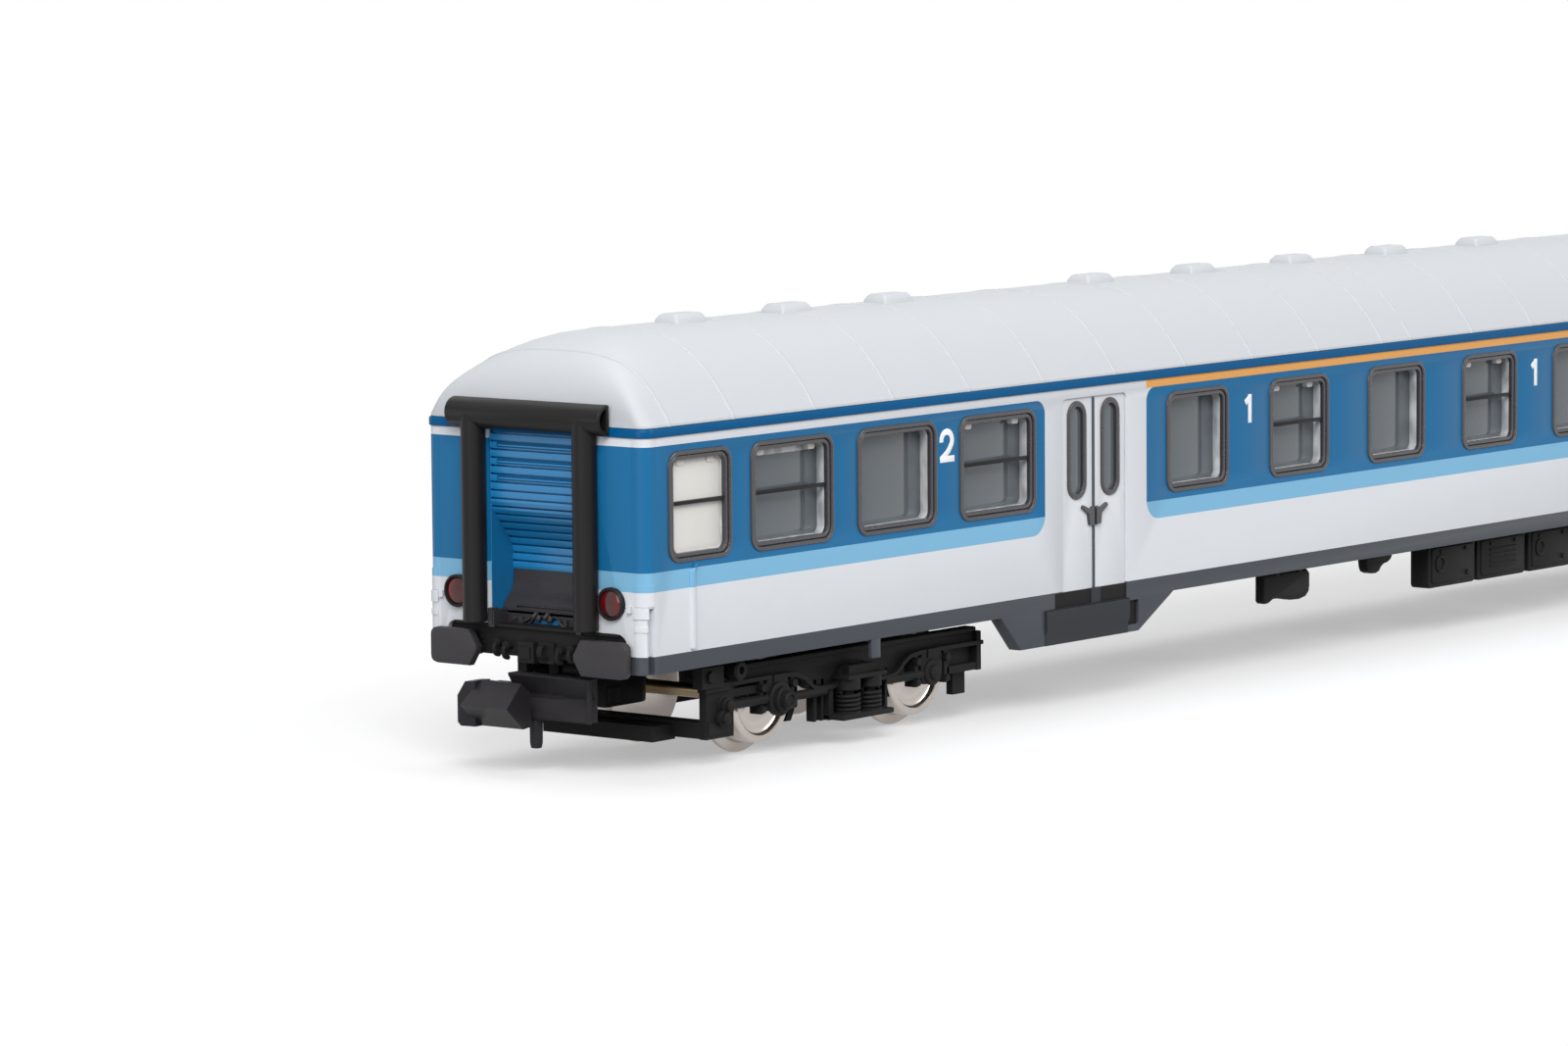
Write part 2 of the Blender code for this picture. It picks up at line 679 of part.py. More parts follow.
def equipment(end):
    """A row of cases under a rail, and a tank on the other half of the same side."""
    hang = FLOOR_BOTTOM - FIT
    case_y = (-CASE_OUTER_Y, CASE_WIDTH - CASE_OUTER_Y)
    length = (CASE_COUNT - 1) * CASE_PITCH + CASE_LENGTH
    rail = box((CASE_INNER_X, CASE_INNER_X + length), case_y, (hang - CASE_RAIL_HEIGHT, hang))
    row = piece(f"equipment_row_{end.name}", rail, "black plastic", end)
    cases = []
    for i in range(CASE_COUNT):
        middle = CASE_INNER_X + i * CASE_PITCH + CASE_LENGTH / 2
        rings = []
        top = hang - CASE_RAIL_HEIGHT + BURY
        for z, shrink in ((CASE_BOTTOM, BURY), (CASE_BOTTOM + 2 * BURY, 0), (top, 0)):
            width = CASE_WIDTH - BURY - 2 * shrink
            outline = rounded((middle, sum(case_y) / 2), CASE_LENGTH - 2 * shrink, width, BURY, 1)
            rings.append([(a, b, z) for a, b in outline])
        cases.append(loft(rings))
    fuse(row, *cases)
    tank_y = (-CASE_OUTER_Y, TANK_WIDTH - CASE_OUTER_Y)
    top = TANK_BOTTOM + TANK_HEIGHT
    centre = (sum(tank_y) / 2, TANK_BOTTOM + TANK_HEIGHT / 2)
    section = rounded(centre, TANK_WIDTH, TANK_HEIGHT, TANK_WIDTH / 3)
    tank = prism(section, "X", -TANK_X - TANK_LENGTH / 2, -TANK_X + TANK_LENGTH / 2)
    body = piece(f"water_tank_{end.name}", tank, "black plastic", end)
    neck_x = (-TANK_X - TANK_NECK / 2, -TANK_X + TANK_NECK / 2)
    fuse(body, box(neck_x, (tank_y[0] + BURY, tank_y[1] - BURY), (top - BURY, hang)))


def gangway(end):
    face = -HALF_LENGTH - GUTTER_PROUD - FIT
    tube = half_round((-HALF_LENGTH - TUBE_STANDOFF, 0), TUBE_RADIUS, face, 7)
    shapes = []
    for side in (-1, 1):
        outline = [(x, side * TUBE_Y + y) for x, y in tube]
        shapes.append(prism(outline, "Z", TUBE_BOTTOM, ROLL_Z))
    centre = (-HALF_LENGTH - ROLL_STANDOFF, ROLL_Z)
    roll = prism(half_round(centre, ROLL_RADIUS, face, 9), "Y", -ROLL_HALF_LENGTH, ROLL_HALF_LENGTH)
    rubber = piece(f"gangway_rubber_{end.name}", roll, "black plastic", end)
    fuse(rubber, *shapes)
    bore = half_round(centre, ROLL_BORE, face - BURY, 7)
    floor = ROLL_HALF_LENGTH - ROLL_BORE_DEPTH
    cut(rubber, *[prism(bore, "Y", side * floor, side * 2 * ROLL_HALF_LENGTH) for side in (-1, 1)])
    shutter(end)
    bridge_plate(end)


def half_round(centre, radius, flat, steps):
    """A circle cut off by a straight line at one value of its first coordinate, as seen from the end."""
    half = math.acos(max(-1, min(1, (centre[0] - flat) / radius)))
    angles = [half * (2 * i / steps - 1) for i in range(steps + 1)]
    return [(centre[0] - radius * math.cos(t), centre[1] + radius * math.sin(t)) for t in angles]


def shutter_depth(z):
    """How far the roller shutter lies behind the end wall's face: it sweeps back towards its foot."""
    share = min(1, max(0, (SHUTTER_BEND_TOP - z) / (SHUTTER_BEND_TOP - SHUTTER_BEND_FOOT)))
    return SHUTTER_TOP_DEPTH + (SHUTTER_FOOT_DEPTH - SHUTTER_TOP_DEPTH) * share**2 * (3 - 2 * share)


def shutter(end):
    top = GANGWAY_TOP - FIT
    foot = GANGWAY_BOTTOM + FIT
    step = (top - foot) / SHUTTER_RIBS
    front = []
    for i in range(SHUTTER_RIBS):
        for z, proud in ((top - i * step, 0), (top - (i + 0.6) * step, SHUTTER_RIB_PROUD)):
            front.append((-HALF_LENGTH + shutter_depth(z) - proud, z))
    front.append((-HALF_LENGTH + shutter_depth(foot), foot))
    heights = [foot + (top - foot) * i / 8 for i in range(9)]
    back = [(-HALF_LENGTH + shutter_depth(z) + SHUTTER_WALL, z) for z in heights]
    half = GANGWAY_HALF_WIDTH - FIT
    piece(f"gangway_shutter_{end.name}", prism(front + back, "Y", -half, half), "body blue", end)


def bridge_plate(end):
    rear = -HALF_LENGTH + shutter_depth(BRIDGE_TOP) - SHUTTER_RIB_PROUD - FIT
    half = GANGWAY_HALF_WIDTH - FIT
    foot = GANGWAY_BOTTOM + FIT
    plate = box((rear - BRIDGE_WALL, rear), (-half, half), (foot, BRIDGE_TOP))
    made = piece(f"bridge_plate_{end.name}", plate, "black plastic", end)
    blocks = []
    for y in both_sides(half - BRIDGE_BLOCK_WIDTH, half - FIT):
        blocks.append(box((-HALF_LENGTH + FIT, rear - FIT), y, (foot + FIT, foot + BRIDGE_BLOCK_HEIGHT)))
    fuse(made, *blocks)


def headstock(end):
    front = -HALF_LENGTH + HEADSTOCK_SETBACK
    rear = front + HEADSTOCK_DEPTH
    height = CUTOUT_TOP - FIT - HEADSTOCK_BOTTOM
    centre = (0, HEADSTOCK_BOTTOM + height / 2)
    outline = rounded(centre, 2 * HEADSTOCK_HALF_WIDTH, height, CUTOUT_RADIUS - FIT)
    made = piece(f"headstock_{end.name}", prism(outline, "X", front, rear), "black plastic", end)
    reach = front - DRAW_HOOK_PROUD
    low = HEADSTOCK_BOTTOM + FIT
    hook = [(front + BURY, low + 0.3), (reach, low + 0.3), (reach, low + 0.9), (reach + 0.35, low + 0.9),
            (reach + 0.35, low + 0.6), (front + BURY, low + 0.6)]
    fuse(
        made,
        prism(hook, "Y", -1.0, -0.5),
        box((reach + BURY, front + BURY), (0.1, 1.4), (low, low + 1.3)),
        rod("X", (-1.9, low + 0.9), 0.3, reach + BURY, front + BURY, 8),
        rod("X", (2.4, low + 0.9), 0.3, reach + BURY, front + BURY, 8),
    )
    hole = BUFFER_SHANK + FIT
    cut(made, *[rod("X", (side * BUFFER_Y, BUFFER_Z), hole, 2 * front, rear - BURY, 12) for side in (-1, 1)])
    for side, word in ((-1, "left"), (1, "right")):
        buffer(f"buffer_{end.name}_{word}", side, rear - 2 * BURY, end)
        tail_lamp(f"tail_lamp_{end.name}_{word}", side, end)


def buffer(name, side, root, end):
    """A wide buffer head whose inner corners are cut off, on a round shank."""
    w, h, c = BUFFER_WIDTH / 2, BUFFER_HEIGHT / 2, BUFFER_CHAMFER
    half = [(-w, 0), (-w, h - c), (-w + c, h), (w - c / 2, h), (w - c / 6, h - c / 6), (w, h - c / 2)]
    outline = half + [(a, -b) for a, b in reversed(half[1:])]
    outline = [(side * (BUFFER_Y + a), BUFFER_Z + b) for a, b in outline]
    face = -HALF_LENGTH - BUFFER_REACH
    made = piece(name, prism(outline, "X", face, face + BUFFER_HEAD), "black plastic", end)
    fuse(made, rod("X", (side * BUFFER_Y, BUFFER_Z), BUFFER_SHANK, face + BUFFER_HEAD / 2, root, 12))


def tail_lamp(name, side, end):
    face = -HALF_LENGTH - FIT
    profile = [
        (LAMP_STEM, -INNER_HALF_LENGTH), (LAMP_STEM, face), (LAMP_RADIUS, face),
        (LAMP_RADIUS, face - LAMP_PROUD / 2), (LAMP_RADIUS * 0.6, face - LAMP_PROUD),
    ]
    piece(name, turned(profile, "X", (side * LAMP_Y, LAMP_Z), 14), "lamp red", end)


def side_profile():
    """The lower edge of a bogie side from the middle out: arch over the springs, belly, neck and rail."""
    return [
        (SPRING_NOTCH, SPRING_SEAT + 0.9), (SPRING_NOTCH + BURY, SIDE_BELLY), (BELLY_HALF, SIDE_BELLY),
        ((BELLY_HALF + NECK_HALF) / 2, (SIDE_BELLY + SIDE_RAIL) / 2 + BURY), (NECK_HALF, SIDE_RAIL),
        (SIDE_HALF_LENGTH, SIDE_RAIL),
    ]


def mirrored(half):
    """An outline that is the same on both sides of the middle, from the left round to the right."""
    return [(-a, b) for a, b in reversed(half)] + half


def bogie_sides():
    """Side frames with their raised rail, axle boxes, guide arms, spring planks and springs."""
    lower = mirrored(side_profile())
    plate = lower + [(SIDE_HALF_LENGTH, SIDE_TOP), (-SIDE_HALF_LENGTH, SIDE_TOP)]
    rail = lower + [(a * (1 - BURY / SIDE_HALF_LENGTH), b + RAIL_HEIGHT) for a, b in reversed(lower)]
    rail_face = SIDE_OUTER + RAIL_PROUD
    box_face = SIDE_OUTER + AXLE_BOX_PROUD
    guide_z = (AXLE_Z - GUIDE_HEIGHT / 2, AXLE_Z + GUIDE_HEIGHT / 2)
    plank_top = PLANK_BOTTOM + PLANK_WALL
    inner = SIDE_INNER + BURY
    shapes = []
    for side in (-1, 1):
        def y(low, high):
            return sorted((side * low, side * high))

        def at(outline):
            return [(PIVOT_X + a, b) for a, b in outline]

        def block(a, b, low, high, z):
            return box((PIVOT_X + a, PIVOT_X + b), y(low, high), z)

        shapes.append(prism(at(plate), "Y", *y(SIDE_INNER, SIDE_OUTER)))
        shapes.append(prism(at(rail), "Y", *y(inner, rail_face)))
        for end in (-1, 1):
            half = AXLE_BOX_WIDTH / 2
            house = mirrored([(half, AXLE_Z - half), (half, AXLE_Z + half / 2), (half / 2, SIDE_RAIL + BURY)])
            axle_box = at([(end * HALF_BASE + a, b) for a, b in house])
            shapes.append(prism(axle_box, "Y", *y(SIDE_INNER + BURY / 2, box_face)))
            centre = (PIVOT_X + end * HALF_BASE, AXLE_Z)
            shapes.append(rod("Y", centre, AXLE_CAP_RADIUS, *y(box_face - BURY, AXLE_CAP_FACE), 10))
            reach = sorted((end * (BELLY_HALF - BURY), end * (SIDE_HALF_LENGTH - BURY)))
            shapes.append(block(*reach, SIDE_OUTER - 2 * BURY, rail_face + BURY, guide_z))
            lug = sorted((end * (SIDE_HALF_LENGTH - 1.1), end * (SIDE_HALF_LENGTH - BURY / 2)))
            lug_z = (AXLE_Z - BURY, SIDE_TOP - BURY)
            shapes.append(block(*lug, inner - BURY / 2, SIDE_OUTER + BURY / 2, lug_z))
            hanger = sorted((end * (PLANK_HALF_LENGTH - 2 * BURY), end * (PLANK_HALF_LENGTH - BURY / 2)))
            hanger_z = (PLANK_BOTTOM + BURY / 2, SIDE_BELLY + BURY)
            shapes.append(block(*hanger, inner + BURY, SIDE_OUTER - BURY / 2, hanger_z))
            spring = (PIVOT_X + end * SPRING_X, side * SPRING_Y)
            shapes.append(coil(*spring, plank_top - BURY, SPRING_SEAT + BURY))
        plank = (SIDE_INNER + 2 * BURY, SPRING_Y + SPRING_RADIUS + BURY)
        shapes.append(block(-PLANK_HALF_LENGTH, PLANK_HALF_LENGTH, *plank, (PLANK_BOTTOM, plank_top)))
        seat = (SPRING_SEAT, SPRING_SEAT + 1.1)
        shapes.append(block(-SPRING_NOTCH, SPRING_NOTCH, inner + BURY, plank[1] - BURY / 2, seat))
    return shapes


def coil_line(x, y, bottom, top):
    """Points along a spring's wire."""
    count = round(SPRING_TURNS * SPRING_POINTS)
    line = []
    for i in range(count + 1):
        t = math.tau * SPRING_TURNS * i / count
        z = bottom + (top - bottom) * i / count
        line.append(Vector((x + SPRING_RADIUS * math.cos(t), y + SPRING_RADIUS * math.sin(t), z)))
    return line


def coil(x, y, bottom, top):
    """One unbroken wire wound round an upright line."""
    line = coil_line(x, y, bottom, top)
    middle = Vector((x, y, 0))
    up = Vector((0, 0, 1))
    angles = [math.tau * i / SPRING_SIDES for i in range(SPRING_SIDES)]
    rings = []
    for point in line:
        out = (point - middle).to_2d().normalized().to_3d()
        rings.append([point + SPRING_WIRE * (out * math.cos(t) + up * math.sin(t)) for t in angles])
    return loft(rings)


def least_coil_gap():
    """The narrowest space between neighbouring turns of a spring."""
    line = coil_line(0, 0, PLANK_BOTTOM + PLANK_WALL - BURY, SPRING_SEAT + BURY)
    apart = SPRING_POINTS // 2 + 1
    reach = min((a - b).length for i, a in enumerate(line) for b in line[i + apart:])
    return reach - 2 * SPRING_WIRE


def bogie_middle():
    """Transoms, bearing ring, brake blocks, and the boxes and bar at the coupler end."""
    across = (-SIDE_INNER - BURY, SIDE_INNER + BURY)
    transom_z = (SIDE_TOP - BURY - TRANSOM_HEIGHT, SIDE_TOP - BURY)
    shapes = [rod("Z", (PIVOT_X, 0), BEARING_RING_RADIUS, BOLSTER_BOTTOM + BURY, BEARING_RING_TOP, 16)]
    for end in (-1, 1):
        middle = PIVOT_X + end * TRANSOM_X
        shapes.append(box((middle - TRANSOM_WIDTH / 2, middle + TRANSOM_WIDTH / 2), across, transom_z))
        tread = PIVOT_X + end * (HALF_BASE - AXLE_Z - RUN - FIT)
        x = sorted((tread, tread - end * BURY * 3))
        arm = sorted((tread - end * BURY, middle))
        for y in both_sides(BRAKE_Y - BRAKE_WIDTH / 2, BRAKE_Y + BRAKE_WIDTH / 2):
            shapes.append(box(x, y, (BRAKE_BOTTOM, transom_z[1] - 2 * BURY)))
            arm_z = (transom_z[0] + BURY / 2, transom_z[1] - BURY)
            shapes.append(box(arm, (y[0] + BURY / 2, y[1] - BURY / 2), arm_z))
    front = PIVOT_X - END_BOX_FRONT
    for y in both_sides(END_BOX_INNER, END_BOX_OUTER):
        shapes.append(box((front, front + END_BOX_LENGTH), y, (END_BOX_BOTTOM, END_BOX_TOP)))
    bar_z = (CROSS_BAR_BOTTOM, CROSS_BAR_TOP)
    shapes.append(box((front - CROSS_BAR_REACH, front + BURY), (-CROSS_BAR_HALF, CROSS_BAR_HALF), bar_z))
    tie = (-END_BOX_INNER - 3 * BURY, END_BOX_INNER + 3 * BURY)
    tie_z = (bar_z[0] + BURY, bar_z[1] - BURY / 2)
    shapes.append(box((front + BURY / 2, front + END_BOX_LENGTH / 2), tie, tie_z))
    return shapes


def bogie(end):
    pivot = empty(f"bogie_{end.name}_pivot", end, (PIVOT_X, 0, 0))
    bolster_x = (PIVOT_X - TRANSOM_X, PIVOT_X + TRANSOM_X)
    bolster = box(bolster_x, (-SIDE_INNER, SIDE_INNER), (BOLSTER_BOTTOM, SIDE_TOP - 2 * BURY))
    frame = piece(f"bogie_frame_{end.name}", bolster, "black plastic", pivot)
    fuse(frame, *bogie_sides(), *bogie_middle())
    holes = [rod("Z", (PIVOT_X, 0), PIVOT_PIN + FIT, 0, 2 * SIDE_TOP, 12)]
    for axle in (-1, 1):
        centre = (PIVOT_X + axle * HALF_BASE, AXLE_Z)
        for y in both_sides(SIDE_INNER - BURY, AXLE_TIP + FIT):
            holes.append(rod("Y", centre, AXLE_RADIUS + FIT, *y, 10))
    cut(frame, *holes)
    head = BOLSTER_BOTTOM - FIT
    wide = BEARING_RING_RADIUS - 2 * BURY
    screw = [(wide, head - 3 * BURY), (wide, head), (PIVOT_PIN, head), (PIVOT_PIN, FLOOR_TOP - BURY)]
    piece(f"bogie_screw_{end.name}", turned(screw, "Z", (PIVOT_X, 0), 12), "steel", end)
    for axle, word in ((-1, "outer"), (1, "inner")):
        wheelset(f"{end.name}_{word}", PIVOT_X + axle * HALF_BASE, pivot)


def wheelset(name, x, pivot):
    centre = empty(f"wheelset_{name}_centre", pivot, (x, 0, AXLE_Z))
    tip = AXLE_RADIUS / 4
    shaft = SIDE_INNER + BURY
    profile = [(tip, -AXLE_TIP), (AXLE_RADIUS, -shaft), (AXLE_RADIUS, shaft), (tip, AXLE_TIP)]
    piece(f"axle_{name}", turned(profile, "Y", (x, AXLE_Z), 10), "steel", centre)
    bore = AXLE_RADIUS + FIT
    rim = AXLE_Z - RIM_WALL
    web = WHEEL_FACE - WEB_RECESS
    hub_face = WHEEL_FACE - FIT
    wheel = [
        (bore, WHEEL_BACK), (FLANGE_RADIUS - 0.3, WHEEL_BACK), (FLANGE_RADIUS, WHEEL_BACK + 0.2),
        (AXLE_Z, WHEEL_BACK + 0.65), (AXLE_Z - 0.06, WHEEL_FACE), (rim, WHEEL_FACE), (rim - 0.15, web),
        (HUB_RADIUS, web), (HUB_RADIUS - 0.1, hub_face), (bore, hub_face),
    ]
    for side, word in ((-1, "left"), (1, "right")):
        profile = [(radius, side * y) for radius, y in wheel]
        piece(f"wheel_{name}_{word}", turned(profile, "Y", (x, AXLE_Z), WHEEL_STEPS, True), "nickel", centre)


def coupling(end):
    swing = empty(f"coupling_{end.name}_pivot", end, (-SWING_X, 0, DRAWBAR_BOTTOM))
    lift = empty(f"coupler_{end.name}_pivot", swing, (-LIFT_X, 0, LIFT_Z))
    drawbar(end, swing)
    coupler_head(end, lift)
    screw_top = FLOOR_TOP - BURY
    head = DRAWBAR_BOTTOM - FIT
    wide = 2 * SWING_PIN
    screw = [(wide, head - 2 * BURY), (wide, head), (SWING_PIN, head), (SWING_PIN, screw_top)]
    piece(f"coupling_screw_{end.name}", turned(screw, "Z", (-SWING_X, 0), 12), "steel", end)
    hairpin(end)


def drawbar(end, swing):
    tip = -LIFT_X - FORK_REACH
    w = DRAWBAR_HALF_WIDTH
    angles = [math.radians(a) for a in range(-90, 91, 30)]
    outline = [(tip, w), (tip, -w)] + [(-SWING_X + w * math.cos(t), w * math.sin(t)) for t in angles]
    blank = prism(outline, "Z", DRAWBAR_BOTTOM, DRAWBAR_TOP)
    bar = piece(f"drawbar_{end.name}", blank, "black plastic", swing)
    peg = (-SWING_X - DRAWBAR_PEG_REACH, 0)
    fuse(bar, rod("Z", peg, PEG_RADIUS, DRAWBAR_TOP - BURY, DRAWBAR_TOP + FIT + HAIRPIN_HEIGHT + 2 * FIT, 8))
    slot = (tip - BURY, -LIFT_X + LIFT_EYE + RUN)
    cut(bar, box(slot, (-FORK_HALF_GAP, FORK_HALF_GAP), (0, 2 * DRAWBAR_TOP)))
    cut(bar, rod("Z", (-SWING_X, 0), SWING_PIN + FIT, 0, 2 * DRAWBAR_TOP),
        rod("Y", (-LIFT_X, LIFT_Z), LIFT_PIN + FIT, -2 * w, 2 * w, 8))
    piece(f"coupler_pin_{end.name}", rod("Y", (-LIFT_X, LIFT_Z), LIFT_PIN, -w, w, 8), "steel", swing)


def coupler_head(end, lift):
    """Hook nose on the right, catch plate on the left, trip pin below and a tongue that turns on the pin."""
    front, rear = -CATCH_FRONT, -CATCH_FRONT + CATCH_WALL
    middle = (CATCH_BOTTOM + CATCH_TOP) / 2
    plate = [
        (front, CATCH_BOTTOM), (rear, CATCH_BOTTOM), (rear, CATCH_TOP), (front, CATCH_TOP),
        (front, CATCH_TOP - BURY), (front + CATCH_GROOVE, middle), (front, CATCH_BOTTOM + BURY),
    ]
    blank = prism(plate, "Y", -CATCH_LEFT, CATCH_RIGHT)
    head = piece(f"coupler_head_{end.name}", blank, "black plastic", lift)
    tongue = FORK_HALF_GAP - FIT
    shank = (LIFT_Z - LIFT_EYE + BURY / 2, CATCH_TOP - BURY / 2)
    arm_y = (NOSE_RIGHT - HOOK_ARM, NOSE_RIGHT - BURY / 2)
    fuse(
        head,
        nose(),
        box((-NOSE_REAR - BURY, rear - BURY / 2), arm_y, (NOSE_BOTTOM + BURY, NOSE_TOP - BURY)),
        rod("Y", (-LIFT_X, LIFT_Z), LIFT_EYE, -tongue, tongue, 12),
        box((rear - BURY, -LIFT_X), (-tongue + BURY / 2, tongue - BURY / 2), shank),
        rod("Z", (-CATCH_FRONT + CATCH_WALL / 2, 0), TRIP_PIN, TRIP_PIN_BOTTOM, CATCH_BOTTOM + BURY, 8),
    )
    cut(head, rod("Y", (-LIFT_X, LIFT_Z), LIFT_PIN + FIT, -2 * tongue, 2 * tongue, 8))


def nose():
    """The hook's wedge, with a level ridge at the front and slanted cheeks."""
    middle = (NOSE_BOTTOM + NOSE_TOP) / 2
    points = [(-NOSE_TIP, -NOSE_LEFT, middle), (-NOSE_TIP, NOSE_RIGHT - NOSE_LEFT, middle)]
    for z in (NOSE_BOTTOM, NOSE_TOP):
        points += [
            (-NOSE_REAR, -NOSE_LEFT, z), (-NOSE_SHOULDER, 0, z), (-NOSE_SHOULDER, NOSE_RIGHT - 0.8, z),
            (-NOSE_REAR, NOSE_RIGHT, z),
        ]
    cheek = NOSE_SHOULDER + (NOSE_TIP - NOSE_SHOULDER) / 2
    points += [(-cheek, NOSE_RIGHT, middle - 0.9), (-cheek, NOSE_RIGHT, middle + 0.9)]
    return hull(points)


def hairpin(end):
    """A flat hairpin round the swing boss, whose legs hold the drawbar's peg in line with the frame's peg."""
    inner = SWING_BOSS + FIT
    outer = inner + HAIRPIN_WALL
    leg = PEG_RADIUS + FIT
    tip = -SWING_X - FRAME_PEG_REACH - 2 * PEG_RADIUS

    def arc(radius, reach):
        start = math.asin(reach / radius)
        angles = [math.pi - start - (math.tau - 2 * start) * i / 12 for i in range(13)]
        return [(-SWING_X + radius * math.cos(t), radius * math.sin(t)) for t in angles]

    wide = leg + HAIRPIN_WALL
    outline = [(tip, wide)] + arc(outer, wide) + [(tip, -wide), (tip, -leg)]
    outline += arc(inner, leg)[::-1] + [(tip, leg)]
    bottom = DRAWBAR_TOP + 2 * FIT
    piece(f"centring_spring_{end.name}", prism(outline, "Z", bottom, bottom + HAIRPIN_HEIGHT), "steel", end)


def main():
    clear_scene()
    rails = empty("rails", None, (0, 0, 0))
    rails.location.z = FLANGE_DEPTH * MM
    body_shell(rails)
    roof(rails)
    glazing("glazing_left", -1, rails)
    glazing("glazing_right", 1, rails)
    seat_unit(rails)
    ballast(rails)
    underframe(rails)
    for name, turn in (("front", 0.0), ("rear", math.pi)):
        end = empty(name, rails, (0, 0, 0), turn)
        equipment(end)
        gangway(end)
        headstock(end)
        bogie(end)
        coupling(end)
    print(f"least gap between spring turns: {least_coil_gap():.3f} mm")


main()
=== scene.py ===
"""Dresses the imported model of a 1:160 passenger coach: paint, glass, mouldings, running gear and couplers.

Shapes are drawn in millimetres, with heights from the rail top, for the front end and the left side.
The rear end and the right side are the same shapes under a half turn about the middle.
"""

import json
import math
from typing import NamedTuple

import bmesh
import bpy
from bpy.props import FloatProperty, FloatVectorProperty, PointerProperty
from mathutils import Matrix, Vector


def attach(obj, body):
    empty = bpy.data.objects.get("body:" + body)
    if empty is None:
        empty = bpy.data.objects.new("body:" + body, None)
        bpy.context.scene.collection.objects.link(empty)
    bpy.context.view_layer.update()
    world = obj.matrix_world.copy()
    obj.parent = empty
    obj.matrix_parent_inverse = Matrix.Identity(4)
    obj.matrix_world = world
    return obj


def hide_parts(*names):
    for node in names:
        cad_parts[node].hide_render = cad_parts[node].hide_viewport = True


bl_info = {
    "name": "Passenger coach dresser",
    "version": (1, 0, 0),
    "blender": (4, 5, 0),
    "location": "View3D > Sidebar > Coach",
    "description": "Builds the visible pieces of a model passenger coach on its packed frame",
    "category": "Object",
}

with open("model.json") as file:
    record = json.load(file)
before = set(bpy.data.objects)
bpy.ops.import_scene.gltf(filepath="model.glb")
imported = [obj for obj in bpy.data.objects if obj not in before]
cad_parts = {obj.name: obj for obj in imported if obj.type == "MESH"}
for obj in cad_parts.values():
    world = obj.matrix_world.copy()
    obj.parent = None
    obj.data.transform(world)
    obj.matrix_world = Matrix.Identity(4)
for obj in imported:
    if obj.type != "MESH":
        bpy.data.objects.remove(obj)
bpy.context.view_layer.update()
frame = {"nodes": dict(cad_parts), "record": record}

MM = 0.001
BOTH = (-1, 1)
HANDS = ((-1, "left"), (1, "right"))
ENDS = (("front", 0.0), ("rear", math.pi))
SIDES = (("left", 0.0), ("right", math.pi))
MIDDLE = (("", 0.0),)

# Sizes taken over from the solids, in millimetres
FLANGE = 0.7
HALF_LENGTH = 81.6
HALF_WIDTH = 8.83
CORNER = 0.8
WALL = 1.0
SKIRT = 5.95
GUTTER = 20.3
WALL_TOP = GUTTER + 0.4
EAVES = 20.87
CREST = 26.17
DOORS = (-35.8, 35.8)
DOOR_HALF = 3.565
DOOR_BOTTOM = 6.96
DOOR_TOP = 19.63
DOOR_FACE = -8.68
WELL_BOTTOM = 5.96
STEP_BOTTOM = 3.66
WINDOW_BOTTOM = 12.55
WINDOW_TOP = 19.35
FIRST_CENTRES = (-24.12, -12.06, 0.0, 12.06, 24.12)
SECOND_CENTRES = (46.4, 56.95, 67.5)
TOILET_X = 76.44
FIRST_WIDTH = 7.24
SECOND_WIDTH = 8.2
TOILET_WIDTH = 6.05
GANGWAY_HALF = 3.78
TUBE_Y = 4.48
ROLL_Z = 21.3
BUFFER_Y = 5.79
BUFFER_Z = 6.77
LAMP_Y = 6.2
LAMP_Z = 10.2
CUT_TOP = 8.35
PIVOT = -59.2
HALF_BASE = 7.85
AXLE_Z = 2.92
SPRING_X = 1.07
SPRING_Y = 7.4
SWING_X = -73.6
LIFT_X = -77.8
LIFT_Z = 5.3

# The roof's curve: its rise over the eaves, the length of its domed ends and how full they are
ROOF_RISE = 5.12
ROOF_FULLNESS = 2.75
DOME = 7.6
DOME_FULLNESS = 2.5
ROOF_TURN = 0.85

# Paint lines on the side, by height and by distance from the middle
SKIRT_LINE = SKIRT + 1.11
PANEL_LOW = 10.97
PANEL_TOP = 19.76
DARK_LOW = 12.15
FIRST_PANEL = (-40.0, 30.0)
SECOND_PANEL = (41.3, 120.0)
LIGHT_ROUND = 1.35
DARK_ROUND = 0.9

# The photograph's camera, solved on the coach
CAMERA_PLACE = (-369.238, -251.856, 54.725)
CAMERA_AZIMUTH = -51.073
CAMERA_ELEVATION = 5.996
CAMERA_ROLL = -0.495
CAMERA_LENS = 144.77
SENSOR = 36.0

# Studio light: name, place in metres, width in metres and power in watts of each lamp
LAMPS = (
    ("key", (-0.62, -0.5, 0.62), 0.5, 7.2),
    ("side", (0.35, -0.95, 0.55), 0.6, 5.0),
    ("end", (-0.95, -0.12, 0.28), 0.5, 2.6),
    ("top", (0.1, 0.25, 1.0), 0.7, 3.4),
)
SKY_LIGHT = 0.3
FLOOR_BOUNCE = 0.25
FLOOR_REACH = 6.0
FLOOR_DROP = 0.00002

# Where the floor turns white, in millimetres from the coach's outline, and the least share of white
SHADOW_HALF = (85.0, 9.0)
SHADOW_START = 15.0
SHADOW_FADE = 80.0
SHADOW_WHITE = 0.4


def srgb(red, green, blue):
    """A colour given as screen values from 0 to 255, made linear."""
    linear = []
    for value in (red, green, blue):
        share = value / 255
        linear.append(share / 12.92 if share <= 0.04045 else ((share + 0.055) / 1.055) ** 2.4)
    return linear


def colour(name, words, *value):
    return FloatVectorProperty(
        name=name, description=words, subtype="COLOR", size=3, min=0.0, max=1.0, default=srgb(*value)
    )


